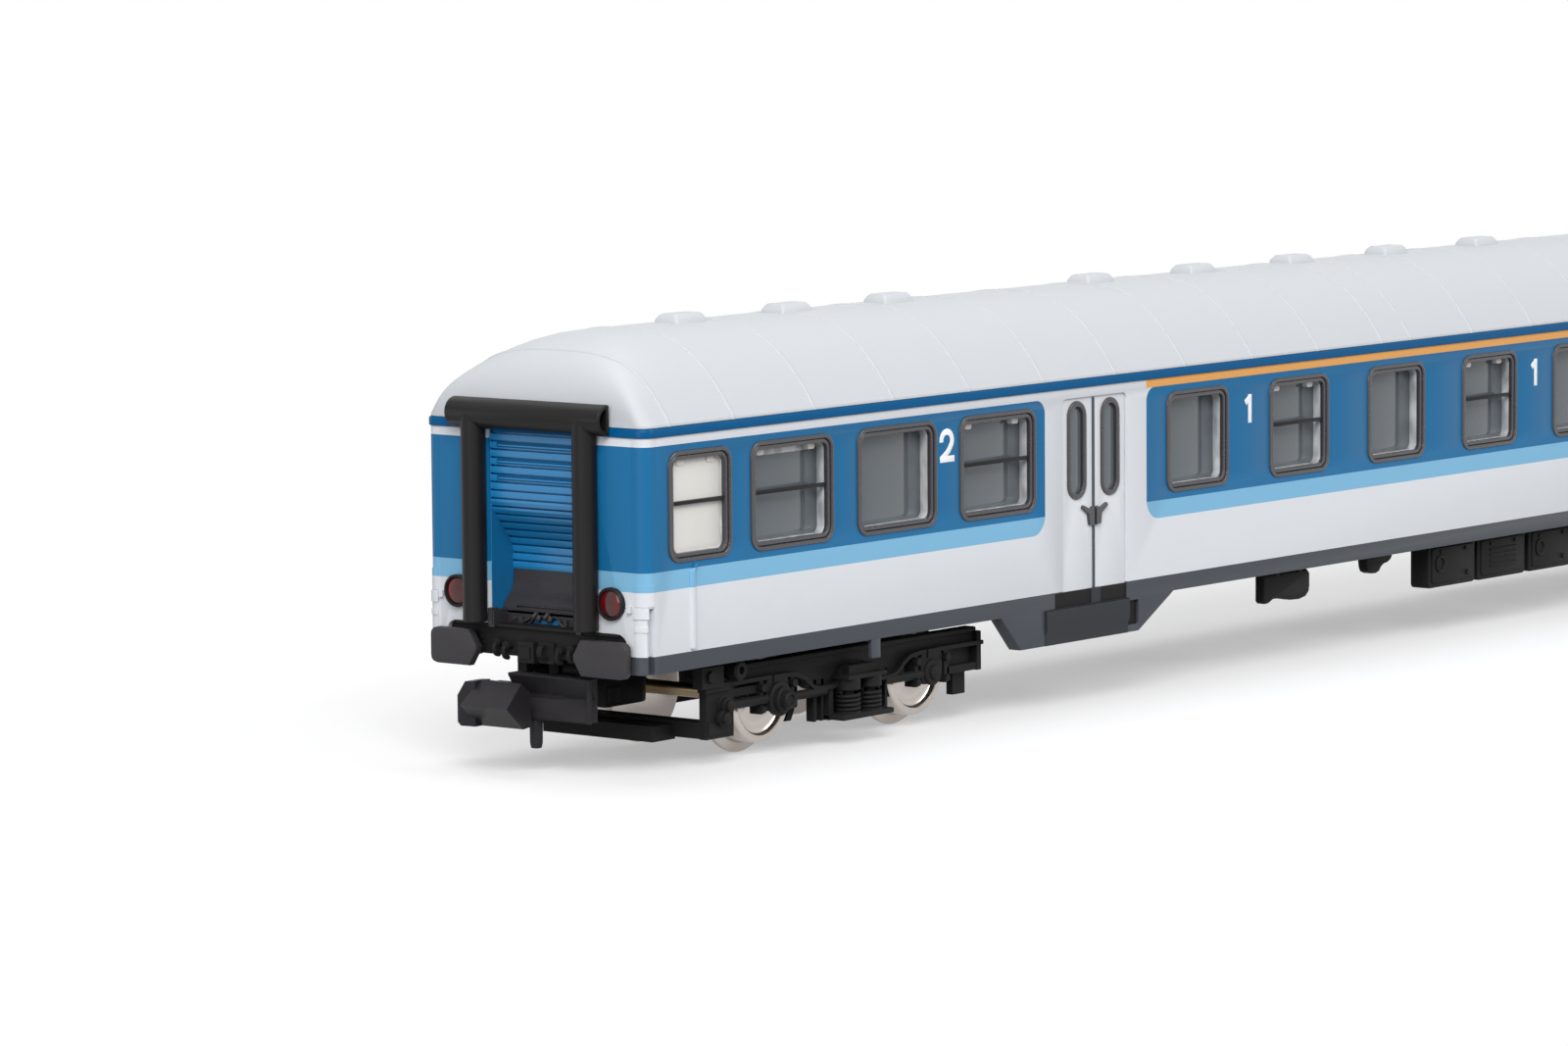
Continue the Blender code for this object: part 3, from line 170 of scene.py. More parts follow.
def length(name, words, value):
    return FloatProperty(
        name=name, description=words, default=value * MM, unit="LENGTH", precision=5, min=0.0
    )


class CoachColours(bpy.types.PropertyGroup):
    """The coach's paints and plastics."""

    dark_blue: colour("Dark blue", "Window band", 20, 101, 149)
    light_blue: colour("Light blue", "Line under the window band", 120, 174, 207)
    light_grey: colour("Light grey", "Lower side and doors", 210, 213, 218)
    gutter_blue: colour("Gutter blue", "Rain strip under the roof", 0, 80, 128)
    orange: colour("Orange", "First-class line", 228, 164, 88)
    skirt: colour("Skirt grey", "Lower edge and step boxes", 68, 72, 79)
    # Painted shade: the skirt's grey made darker for the step fronts.
    step: colour("Step grey", "Fronts of the step boxes", 46, 48, 53)
    roof: colour("Roof grey", "Roof and its vents", 188, 191, 195)
    black: colour("Black plastic", "Running gear and end fittings", 33, 32, 33)
    # Painted light: the black plastic made lighter for the end fittings that the light falls on.
    buffers: colour("Buffer grey", "Buffer heads", 46, 44, 47)
    rubber: colour("Gangway rubber", "Gangway tubes", 28, 26, 27)
    frames: colour("Window frames", "Window and door rubbers", 52, 50, 54)
    glass: colour("Glass", "Side windows", 98, 105, 111)
    cream: colour("Frosted glass", "Toilet windows", 216, 214, 209)
    lens: colour("Lamp red", "Tail lamp lenses", 100, 4, 10)
    nickel: colour("Nickel", "Wheels", 196, 188, 182)
    brass: colour("Brass", "Axles", 164, 145, 116)
    seats: colour("Seats", "Seat unit", 92, 98, 104)
    floor: colour("Floor", "Studio floor", 246, 246, 247)


class CoachSizes(bpy.types.PropertyGroup):
    """Sizes of the fine details."""

    frame_width: length("Frame width", "Width of a window rubber", 0.58)
    frame_proud: length("Frame height", "How far a window rubber stands out of the side", 0.1)
    window_radius: length("Window radius", "Corner radius of the side windows", 0.95)
    bar_height: length("Bar height", "Height of the bar across a half-drop window", 0.23)
    seam_width: length("Seam width", "Width of a roof seam", 0.3)
    seam_proud: length("Seam height", "How far a roof seam stands out", 0.05)
    grain: length("Grain", "Size of the grain of moulded plastic", 0.11)


def colours():
    return bpy.context.scene.coach_colours


def size(name):
    """A detail size in millimetres."""
    return getattr(bpy.context.scene.coach_sizes, name) / MM


# Shader building


def maths(operation, swapped=False):
    """A method that adds a Math node, with its values swapped for a reflected operator."""

    def method(self, *others):
        values = (*others, self) if swapped else (self, *others)
        return self.nodes.add("ShaderNodeMath", {"operation": operation}, dict(enumerate(values)))

    return method


class Socket:
    """A shader value whose arithmetic adds Math nodes."""

    def __init__(self, nodes, end):
        self.nodes = nodes
        self.end = end

    __add__ = __radd__ = maths("ADD")
    __sub__, __rsub__ = maths("SUBTRACT"), maths("SUBTRACT", True)
    __mul__ = __rmul__ = maths("MULTIPLY")
    __truediv__ = maths("DIVIDE")
    __gt__, __lt__ = maths("GREATER_THAN"), maths("LESS_THAN")
    __abs__ = maths("ABSOLUTE")
    least, most, root = maths("MINIMUM"), maths("MAXIMUM"), maths("SQRT")


class Nodes:
    """A node tree that values and links are put into."""

    def __init__(self, tree):
        self.tree = tree

    def add(self, kind, settings=(), inputs=(), output=0):
        """A node of a kind, with its settings made first and then its sockets given values or links."""
        node = self.tree.nodes.new(kind)
        for name, value in dict(settings).items():
            setattr(node, name, value)
        for name, value in dict(inputs).items():
            self.feed(node.inputs[name], value)
        return Socket(self, node.outputs[output])

    def feed(self, socket, value):
        if isinstance(value, Socket):
            self.tree.links.new(value.end, socket)
        else:
            socket.default_value = value


def seen(nodes):
    """1 for rays that show the surroundings, straight, mirrored or through glass, and 0 for the rest."""
    rays = nodes.add("ShaderNodeLightPath").end.node.outputs
    kinds = ("Camera", "Glossy", "Transmission")
    direct, mirrored, through = (Socket(nodes, rays[f"Is {kind} Ray"]) for kind in kinds)
    return direct.most(mirrored).most(through)


class Finish(Nodes):
    """A material, and the nodes that vary it over a surface."""

    def __init__(self, name, base, roughness, metallic=0.0, **constants):
        self.material = bpy.data.materials.new(name)
        self.material.use_nodes = True
        super().__init__(self.material.node_tree)
        self.shader = self.tree.nodes["Principled BSDF"]
        self.set("Base Color", (*base, 1.0))
        self.set("Roughness", roughness)
        self.set("Metallic", metallic)
        for socket, value in constants.items():
            self.set(socket.replace("_", " ").title().replace("Ior", "IOR"), value)

    def set(self, socket, value):
        self.feed(self.shader.inputs[socket], value)

    def place(self):
        """Where a point lies on the coach: along, across and up from the rail top, in millimetres."""
        point = self.add("ShaderNodeTexCoord", output="Object")
        split = self.add("ShaderNodeSeparateXYZ", inputs={0: point})
        along, across, up = (Socket(self, end) * (1 / MM) for end in split.end.node.outputs)
        return along, across, up - FLANGE

    def noise(self, grain, detail=2.0, stretch=None):
        """Noise from 0 to 1 whose features are about as large as the grain, in millimetres."""
        point = self.add("ShaderNodeTexCoord", output="Object")
        if stretch:
            point = self.add("ShaderNodeVectorMath", {"operation": "MULTIPLY"}, {0: point, 1: stretch})
        inputs = {"Vector": point, "Scale": 1 / (grain * MM), "Detail": detail}
        return self.add("ShaderNodeTexNoise", inputs=inputs)

    def mix(self, share, under, over):
        """One colour laid over another."""
        under, over = (value if isinstance(value, Socket) else (*value, 1.0) for value in (under, over))
        return self.add("ShaderNodeMix", {"data_type": "RGBA"}, {0: share, 6: under, 7: over}, 2)

    def bump(self, height, depth):
        """Raises the surface by a height from 0 to 1 of a depth in millimetres."""
        self.set("Normal", self.add("ShaderNodeBump", inputs={"Distance": depth * MM, "Height": height}))


def tone(base, factor):
    """A colour made darker or lighter."""
    return [min(1, value * factor) for value in base]


class Look(NamedTuple):
    """A finish that is even all over but for the grain of its moulding."""

    slot: str
    base: str | tuple
    roughness: float
    specular: float
    grain: float
    depth: float
    uneven: float
    dull: float
    # Painted light: the factor by which a finish's colour is painted lighter or darker for the light that
    # falls on it.
    shade: float = 1.0
    metallic: float = 0.0
    coat: float = 0.0


# Grains are in millimetres, and from 1 up in shares of the plastic's set grain; depths are in millimetres.
# How uneven the colour is and how the gloss varies are shares of 1.
# Clouds are CLOUD times as broad as grains.
CLOUD = 14
LOOKS = {
    "roof_paint": Look("roof_grey", "roof", 0.44, 0.18, 0.14, 0.006, 0.012, 0.1),
    "gutter_paint": Look("body_blue", "gutter_blue", 0.3, 0.1, 0.15, 0.004, 0.05, 0.06),
    "blue_paint": Look("body_blue", "dark_blue", 0.36, 0.25, 0.15, 0.005, 0.06, 0.08),
    # Painted light: the shutter is the dark blue painted lighter, so its recessed slats look lit.
    "shutter_paint": Look("body_blue", "dark_blue", 0.32, 0.7, 0.15, 0.005, 0.08, 0.08, shade=1.35),
    "grey_paint": Look("body_blue", "light_grey", 0.36, 0.25, 0.15, 0.004, 0.02, 0.08),
    "skirt_paint": Look("body_blue", "skirt", 0.42, 0.2, 0.13, 0.006, 0.06, 0.1),
    # Painted shade: the step fronts in the darker grey.
    "shaded_step_paint": Look("body_blue", "step", 0.46, 0.15, 0.13, 0.006, 0.08, 0.1),
    "white_print": Look("body_blue", (0.86, 0.87, 0.88), 0.4, 0.5, 0.1, 0.002, 0.03, 0.06),
    "black_plastic": Look("black_plastic", "black", 0.5, 0.08, 1.0, 0.014, 0.25, 0.2),
    # Painted light: buffer heads and bridge leaf in a lighter copy of the black plastic.
    "buffer_plastic": Look("black_plastic", "buffers", 0.52, 0.3, 1.3, 0.02, 0.3, 0.2),
    # Painted light: the coupler in the lighter copy of the black plastic, taken down a little.
    "coupler_plastic": Look("black_plastic", "buffers", 0.34, 0.1, 1.0, 0.014, 0.25, 0.2, shade=0.85),
    "gangway_rubber": Look("black_plastic", "rubber", 0.4, 0.16, 0.16, 0.008, 0.2, 0.14),
    "frame_rubber": Look("black_plastic", "frames", 0.26, 0.5, 0.12, 0.006, 0.12, 0.12, coat=0.3),
    "frosted_glass": Look("clear_glazing", "cream", 0.32, 0.5, 0.2, 0.006, 0.03, 0.1),
    "brass": Look("axle_brass", "brass", 0.3, 0.5, 0.2, 0.004, 0.12, 0.16, metallic=1.0),
    "steel": Look("steel", (0.55, 0.56, 0.57), 0.34, 0.5, 0.2, 0.004, 0.1, 0.16, metallic=1.0),
    "seat_plastic": Look("seat_grey", "seats", 0.6, 0.5, 0.3, 0.01, 0.1, 0.15),
}


def make_even(name):
    """A finish from the list, with the fine grain of a moulding: uneven colour, gloss and height."""
    look = LOOKS[name]
    base = getattr(colours(), look.base) if isinstance(look.base, str) else look.base
    # Painted light: the colour times the finish's shade factor.
    base = [value * look.shade for value in base]
    made = Finish(
        name, base, look.roughness, look.metallic, specular_ior_level=look.specular, coat_weight=look.coat
    )
    grain = look.grain if look.grain < 1 else look.grain * size("grain")
    fine, broad = made.noise(grain), made.noise(grain * CLOUD)
    cloud = fine * 0.5 + broad * 0.5
    made.set("Base Color", made.mix(cloud, tone(base, 1 - look.uneven), tone(base, 1 + look.uneven)))
    made.set("Roughness", look.roughness - look.dull / 2 + (fine * 0.6 + broad * 0.4) * look.dull)
    made.bump(fine, look.depth)
    return made


def make_body_paint():
    """The side's bands of colour, told apart by where a point lies on the coach."""
    c = colours()
    made = Finish("body_paint", c.light_grey, 0.34, specular_ior_level=0.22)
    along, _, up = made.place()
    reach = abs(along)

    def panel(near, far, radius):
        """1 inside an upright panel with round corners."""
        right = abs(reach - (near + far) / 2) - ((far - near) / 2 - radius)
        above = abs(up - (PANEL_LOW + PANEL_TOP) / 2) - ((PANEL_TOP - PANEL_LOW) / 2 - radius)
        outside = (right.most(0) * right.most(0) + above.most(0) * above.most(0)).root()
        return (outside + right.most(above).least(0)) < radius

    def panels(radius):
        return panel(*FIRST_PANEL, radius).most(panel(*SECOND_PANEL, radius))

    painted = made.mix(up < SKIRT_LINE, c.light_grey, c.skirt)
    painted = made.mix(panels(LIGHT_ROUND), painted, c.light_blue)
    painted = made.mix(panels(DARK_ROUND) * (up > DARK_LOW), painted, c.dark_blue)
    painted = made.mix((up > PANEL_TOP) * (up < GUTTER) * (reach < FIRST_PANEL[1]), painted, c.orange)
    painted = made.mix(up > GUTTER, painted, c.gutter_blue)
    cloud = made.noise(1.6)
    fine = made.noise(0.12)
    grey = made.add("ShaderNodeCombineColor", inputs={0: cloud, 1: cloud, 2: cloud})
    clouded = {"data_type": "RGBA", "blend_type": "MULTIPLY"}
    made.set("Base Color", made.add("ShaderNodeMix", clouded, {0: 0.03, 6: painted, 7: grey}, 2))
    made.set("Roughness", 0.3 + cloud * 0.06 + fine * 0.05)
    made.bump(fine * 0.5 + cloud * 0.5, 0.004)
    return made


def make_glass():
    """Clear plastic that is lightly clouded, so the seats behind it show dimly; painted light makes it
    lighter towards the bottom and darker towards the top.
    """
    base = colours().glass
    made = Finish("glass", base, 0.07, alpha=0.8, coat_weight=0.4)
    _, _, up = made.place()
    # Painted light: part of the cloud is the height, so the panes are painted lighter towards the bottom and
    # darker towards the top.
    cloud = made.noise(3.0) * 0.4 + (up - WINDOW_BOTTOM) / (WINDOW_TOP - WINDOW_BOTTOM) * 0.6
    made.set("Base Color", made.mix(cloud, tone(base, 1.12), tone(base, 0.8)))
    made.set("Alpha", 0.74 + cloud * 0.12)
    made.material.surface_render_method = "BLENDED"
    return made


def make_clear_edge():
    """The cut edges of the clear inserts, with painted highlights: bright lines over dark for the light that
    they gather.
    """
    made = Finish("clear_edge", (0.42, 0.45, 0.47), 0.1, coat_weight=0.5)
    painted_glint = made.noise(0.7, 1.0, (1.0, 1.0, 0.5))
    # Painted highlight: the noise lays bright lines over a dark edge.
    made.set("Base Color", made.mix(painted_glint, (0.1, 0.11, 0.12), (0.78, 0.8, 0.82)))
    return made


def make_lamp_lens():
    """Red plastic with a painted reflection: a dull upright band down its middle."""
    base = colours().lens
    made = Finish("lamp_lens", base, 0.12, specular_ior_level=0.3, coat_weight=0.3)
    _, across, _ = made.place()
    # Painted reflection: a dull grey-brown band down the middle of each lens.
    upright = ((0.5 - abs(abs(across) - LAMP_Y)) * 3.0).most(0).least(1)
    cloud = made.noise(0.6)
    red = made.mix(cloud, tone(base, 0.5), tone(base, 1.3))
    made.set("Base Color", made.mix(upright * (0.5 + cloud * 0.5), red, srgb(50, 30, 29)))
    made.bump(cloud, 0.01)
    return made


def make_nickel():
    """Bright plating with fine turning marks and a little dust."""
    base = colours().nickel
    made = Finish("nickel", base, 0.22, 0.6)
    marks = made.noise(0.5, 3.0)
    made.set("Base Color", made.mix(marks, tone(base, 0.85), base))
    made.set("Roughness", 0.14 + marks * 0.12)
    made.set("Metallic", 0.95 - marks * 0.1)
    return made


# Finishes that are more than even, with the slot that each belongs to
VARIED = {
    "body_paint": ("body_blue", make_body_paint),
    "glass": ("clear_glazing", make_glass),
    "clear_edge": ("clear_glazing", make_clear_edge),
    "lamp_lens": ("lamp_red", make_lamp_lens),
    "nickel": ("nickel", make_nickel),
}
MADE = {}


def finish(name):
    """A finish by name, made once."""
    if name not in MADE:
        MADE[name] = (VARIED[name][1]() if name in VARIED else make_even(name)).material
    return MADE[name]


def dress(node, look):
    """Puts a finish on a solid that is shown as it is."""
    mesh = frame["nodes"][node].data
    mesh.materials.clear()
    mesh.materials.append(finish(look))


# Shape building


def span(side, low, high):
    """A stretch on one side of the middle, from its lower end."""
    return sorted((side * low, side * high))


def spot(axis, a, b, along):
    """A point whose outline coordinates are a and b, at a distance along the axis."""
    return {"X": (along, a, b), "Y": (a, along, b), "Z": (a, b, along)}[axis]


def around(centre, radius, angles):
    return [(centre[0] + radius * math.cos(t), centre[1] + radius * math.sin(t)) for t in angles]


def circle(centre, radius, steps):
    return around(centre, radius, [math.tau * (i + 0.5) / steps for i in range(steps)])


def rounded(centre, width, height, radius, steps=8):
    """A rectangle with round corners."""
    outline = []
    for quarter, (right, up) in enumerate(((1, 1), (-1, 1), (-1, -1), (1, -1))):
        middle = (centre[0] + right * (width / 2 - radius), centre[1] + up * (height / 2 - radius))
        outline += arc(middle, radius, 90 * quarter, 90 * quarter + 90, steps)
    return outline


def arc(centre, radius, start, end, steps):
    """Points along part of a circle, with its angles in degrees."""
    return around(centre, radius, [math.radians(start + (end - start) * i / steps) for i in range(steps + 1)])


def half_round(centre, radius, flat, steps):
    """A circle cut off by a line at one value of its first coordinate, with its bulge towards the end."""
    half = math.acos(max(-1, min(1, (centre[0] - flat) / radius)))
    return around(centre, radius, [math.pi - half * (2 * i / steps - 1) for i in range(steps + 1)])


def smoothed(path, rounds=2):
    """A line with its corners cut until they are round."""
    for _ in range(rounds):
        cut = [path[0]]
        for (a, b), (c, d) in zip(path, path[1:]):
            cut += [(0.75 * a + 0.25 * c, 0.75 * b + 0.25 * d), (0.25 * a + 0.75 * c, 0.25 * b + 0.75 * d)]
        path = cut + [path[-1]]
    return path


def heading(path, i):
    """The way that a line runs at one of its points."""
    return Vector(path[min(len(path) - 1, i + 1)]) - Vector(path[max(0, i - 1)])


def beside(path, distance):
    """A line that runs at a distance to the left of another."""
    shifted = []
    for i, here in enumerate(path):
        along = heading(path, i)
        side = Vector((-along.y, along.x)).normalized() * distance
        shifted.append((here[0] + side.x, here[1] + side.y))
    return shifted


def band(path, thickness):
    """The outline of a strip that lies on one side of a line."""
    return path + beside(path, thickness)[::-1]


def stroke(path, width):
    """The outline of a line drawn with a broad pen."""
    return beside(path, width / 2) + beside(path, -width / 2)[::-1]


def shapes(count):
    return [Shape() for _ in range(count)]


def link(name, data):
    """An object that is put into the scene."""
    made = bpy.data.objects.new(name, data)
    bpy.context.scene.collection.objects.link(made)
    return made


class Shape:
    """A mesh in the making, in millimetres."""

    def __init__(self):
        self.mesh = bmesh.new()

    def loft(self, rings, closed=False):
        """Faces between rings of points, capped at the ends, or joined to each other if closed."""
        loops = [[self.mesh.verts.new(point) for point in ring] for ring in rings]
        made = []
        for first, second in zip(loops, loops[1:] + loops[:1] if closed else loops[1:]):
            for i in range(len(first)):
                made.append(self.mesh.faces.new((first[i - 1], first[i], second[i], second[i - 1])))
        if not closed:
            made += [self.mesh.faces.new(loops[0]), self.mesh.faces.new(loops[-1])]
        bmesh.ops.recalc_face_normals(self.mesh, faces=made)
        return self

    def prism(self, outline, axis, start, end):
        return self.loft([[spot(axis, a, b, along) for a, b in outline] for along in (start, end)])

    def block(self, x, y, z):
        return self.prism([(x[0], y[0]), (x[1], y[0]), (x[1], y[1]), (x[0], y[1])], "Z", *z)

    def rod(self, axis, centre, radius, start, end, steps=24):
        return self.prism(circle(centre, radius, steps), axis, start, end)

    def lathe(self, profile, axis, centre, steps=40, closed=False):
        """A profile of (radius, distance along the axis) points turned about the axis."""
        rings = [[spot(axis, *p, along) for p in circle(centre, radius, steps)] for radius, along in profile]
        return self.loft(rings, closed)

    def tube(self, points, radius, steps=8):
        """A round bar along a line of points."""
        points = [Vector(point) for point in points]
        angles = [math.tau * j / steps for j in range(steps)]
        side = None
        rings = []
        for i, here in enumerate(points):
            along = heading(points, i).normalized()
            if side is None:
                side = along.orthogonal().normalized()
            side = (side - along * side.dot(along)).normalized()
            other = along.cross(side)
            rings.append([here + radius * (side * math.cos(t) + other * math.sin(t)) for t in angles])
        return self.loft(rings)

    def hull(self, points):
        """The smallest convex body round some points."""
        corners = [self.mesh.verts.new(point) for point in points]
        made = bmesh.ops.convex_hull(self.mesh, input=corners)
        loose = [v for v in corners if not v.link_faces]
        bmesh.ops.delete(self.mesh, geom=loose, context="VERTS")
        faces = [f for f in made["geom"] if isinstance(f, bmesh.types.BMFace)]
        bmesh.ops.recalc_face_normals(self.mesh, faces=faces)
        return self

    def plate(self, outlines, axis, start, end, edge=0.05):
        """A flat plate with round edges. Outlines that lie inside others are holes."""
        curve = bpy.data.curves.new("plate", "CURVE")
        curve.dimensions = "2D"
        curve.fill_mode = "BOTH"
        curve.extrude = abs(end - start) / 2 - edge
        curve.bevel_depth = edge
        curve.bevel_resolution = 1
        curve.offset = -edge
        for outline in outlines:
            spline = curve.splines.new("POLY")
            spline.points.add(len(outline) - 1)
            for point, (a, b) in zip(spline.points, outline):
                point.co = (a, b, 0, 1)
            spline.use_cyclic_u = True
        holder = bpy.data.objects.new("plate", curve)
        flat = bpy.data.meshes.new_from_object(holder)
        for corner in flat.vertices:
            a, b, deep = corner.co
            corner.co = spot(axis, a, b, (start + end) / 2 + deep)
        fresh = bmesh.new()
        fresh.from_mesh(flat)
        bmesh.ops.remove_doubles(fresh, verts=fresh.verts, dist=0.0005)
        bmesh.ops.recalc_face_normals(fresh, faces=fresh.faces)
        fresh.to_mesh(flat)
        fresh.free()
        self.mesh.from_mesh(flat)
        bpy.data.meshes.remove(flat)
        bpy.data.objects.remove(holder)
        bpy.data.curves.remove(curve)
        return self

    def pad(self, axis, reach, centre, width, height, radius, edge=0.05, steps=3):
        """A flat plate with round corners."""
        return self.plate([rounded(centre, width, height, radius, steps)], axis, *reach, edge)

    def build(self, name, look, places=MIDDLE, replaces="", edge=0.0, smooth=35, body="coach_body"):
        """Objects of the shape at each place, riding on their bodies."""
        for word, turn in places:
            mesh = bpy.data.meshes.new(name.format(word))
            self.mesh.to_mesh(mesh)
            lift = Matrix.Translation((0, 0, FLANGE))
            mesh.transform(Matrix.Rotation(turn, 4, "Z") @ Matrix.Scale(MM, 4) @ lift)
            piece = link(name.format(word), mesh)
            mesh.materials.append(finish(look))
            mesh.shade_smooth()
            if edge:
                bevel = piece.modifiers.new("edges", "BEVEL")
                bevel.width = edge * MM
                bevel.segments = 2
                bevel.limit_method = "ANGLE"
                bevel.angle_limit = math.radians(smooth)
                bevel.harden_normals = True
            else:
                mesh.set_sharp_from_angle(angle=math.radians(smooth))
            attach(piece, body.format(word))
            if replaces:
                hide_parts(replaces.format(word))
        self.mesh.free()


# Stage


def camera():
    data = bpy.data.cameras.new("camera")
    data.lens = CAMERA_LENS
    data.sensor_width = SENSOR
    data.clip_start = 0.01
    data.clip_end = 20.0
    made = link("camera", data)
    turn, rise, roll = (math.radians(a) for a in (CAMERA_AZIMUTH, CAMERA_ELEVATION, CAMERA_ROLL))
    back = Vector((math.sin(turn) * math.cos(rise), -math.cos(turn) * math.cos(rise), math.sin(rise)))
    level = Vector((0, 0, 1)).cross(back).normalized()
    upright = back.cross(level)
    right = level * math.cos(roll) + upright * math.sin(roll)
    up = upright * math.cos(roll) - level * math.sin(roll)
    place = Vector(CAMERA_PLACE) + Vector((0, 0, FLANGE))
    made.matrix_world = Matrix.Translation(place * MM) @ Matrix((right, up, back)).transposed().to_4x4()
    bpy.context.scene.camera = made


def floor():
    """A pale floor that keeps the coach's shadow and turns white away from it."""
    base = colours().floor
    made = Finish("floor", base, 0.6, specular_ior_level=0.2)
    shown = seen(made)
    pale = made.mix(made.noise(60.0), tone(base, 0.985), base)
    made.set("Base Color", made.mix(shown, tone(base, FLOOR_BOUNCE), pale))
    along, across, _ = made.place()
    past, beyond = (abs(place) - half for place, half in zip((along, across), SHADOW_HALF))
    past, beyond = past.most(0), beyond.most(0)
    away = (((past * past + beyond * beyond).root() - SHADOW_START) / SHADOW_FADE).most(SHADOW_WHITE).least(1)
    white = made.add("ShaderNodeEmission", inputs={"Color": (1, 1, 1, 1), "Strength": 1.0})
    lit = Socket(made, made.shader.outputs[0])
    far = made.add("ShaderNodeMixShader", inputs={0: away * shown, 1: lit, 2: white})
    made.feed(made.tree.nodes["Material Output"].inputs["Surface"], far)
    mesh = bpy.data.meshes.new("floor")
    corners = [(FLOOR_REACH * x, FLOOR_REACH * y, 0) for x, y in ((-1, -1), (1, -1), (1, 1), (-1, 1))]
    mesh.from_pydata(corners, [], [(0, 1, 2, 3)])
    mesh.materials.append(made.material)
    ground = link("floor", mesh)
    ground.location.z = -FLOOR_DROP


def surroundings():
    """A white sky that lights evenly and shows white behind the coach."""
    world = bpy.data.worlds.new("studio")
    bpy.context.scene.world = world
    world.use_nodes = True
    sky = Nodes(world.node_tree)
    background = world.node_tree.nodes["Background"]
    sky.feed(background.inputs["Color"], (1, 1, 1, 1))
    sky.feed(background.inputs["Strength"], SKY_LIGHT + (1 - SKY_LIGHT) * seen(sky))
    bpy.context.scene.view_settings.view_transform = "Standard"


def lamps():
    for name, place, width, power in LAMPS:
        data = bpy.data.lights.new(name, "AREA")
        data.shape = "SQUARE"
        data.size = width
        data.energy = power
        lamp = link(name, data)
        lamp.location = place
        lamp.rotation_euler = (Vector((0, 0, 0.01)) - lamp.location).to_track_quat("-Z", "Y").to_euler()


# Sides and ends


def windows():
    """Every side window as (centre, width, whether its top half drops)."""
    found = [(x, FIRST_WIDTH, i % 2 == 1) for i, x in enumerate(FIRST_CENTRES)]
    for end in BOTH:
        found += [(end * x, SECOND_WIDTH, i != 1) for i, x in enumerate(SECOND_CENTRES)]
        found.append((end * TOILET_X, TOILET_WIDTH, True))
    return found


def window_outline(x, width, inset):
    middle = (WINDOW_BOTTOM + WINDOW_TOP) / 2
    height = WINDOW_TOP - WINDOW_BOTTOM - 2 * inset
    return rounded((x, middle), width - 2 * inset, height, size("window_radius") - inset * 0.85)


def door_window(x, inset):
    middle, width, height, radius = 16.19, 2.1, 6.5, 1.045
    return rounded((x, middle), width - 2 * inset, height - 2 * inset, radius - inset, 10)


def door_hole(x):
    """The doorway with the step well under it."""
    half = [(DOOR_HALF, DOOR_BOTTOM)] + arc((DOOR_HALF - 0.4, DOOR_TOP - 0.4), 0.4, 0, 90, 5)
    mirrored = [(-a, b) for a, b in reversed(half)]
    well = [(-4.45, DOOR_BOTTOM), (-4.45, WELL_BOTTOM), (DOOR_HALF, WELL_BOTTOM)]
    if x > 0:
        well = [(-a, b) for a, b in reversed(well)]
    return [(x + a, b) for a, b in half + mirrored + well]


def side_walls():
    """Walls with their openings, skirt tabs and the drain pipe beside the toilet."""
    flat = HALF_LENGTH - CORNER
    face = -HALF_WIDTH
    dip = [(46.1, SKIRT), (44.0, STEP_BOTTOM), (30.93, STEP_BOTTOM), (26.9, SKIRT)]
    foot = [(-x, z) for x, z in dip] + dip[::-1]
    rim = [(-flat, SKIRT)] + foot + [(flat, SKIRT), (flat, WALL_TOP), (-flat, WALL_TOP)]
    holes = [window_outline(x, width, 0.2) for x, width, _ in windows()]
    holes += [door_hole(x) for x in DOORS]
    holes += [rounded((x, 4.94), 1.22, 1.62, 0.1, 3) for x in (-31.54, 31.54)]
    wall = Shape().plate([rim] + holes, "Y", face, face + WALL)
    for x in (-59.17, 59.17):
        wall.pad("Y", (face + 0.02, face + 0.35), (x, 5.4), 0.9, 1.28, 0.06, steps=2)
    wall.pad("Y", (face - 0.2, face + 0.2), (-77.26, 9.62), 0.5, 5.0, 0.22, 0.16, 5)
    wall.tube([(-77.26, face - 0.04, 11.8), (-77.2, face - 0.08, 12.1), (-76.9, face, 12.35)], 0.15)
    wall.build("side_wall_{}", "body_paint", SIDES)


def step_boxes():
    wells, steps = shapes(2)
    front = [
        (-8.6, 6.0), (-8.98, 6.0), (-9.04, 5.94), (-9.04, 4.72), (-8.88, 4.3), (-8.88, STEP_BOTTOM),
        (-8.3, STEP_BOTTOM), (-8.3, 5.9),
    ]
    for x in DOORS:
        inner = math.copysign(1.0, x)
        wells.block((x - 5.2, x + 5.2), (-8.62, -8.2), (STEP_BOTTOM + 0.3, 6.0))
        wells.block((x - 4.8, x + 4.8), (-8.73, -8.2), (WELL_BOTTOM - 0.1, 6.99))
        steps.block(sorted((x - inner * 0.62, x + inner * 0.4)), (-8.81, -8.3), (WELL_BOTTOM - 0.1, 7.0))
        steps.prism(front, "X", *sorted((x + inner * 5.6, x - inner * 3.62)))
    wells.build("step_well_{}", "black_plastic", SIDES, edge=0.04)
    # Painted shade: the step fronts are painted darker than the skirt.
    steps.build("step_front_{}", "shaded_step_paint", SIDES, edge=0.05)


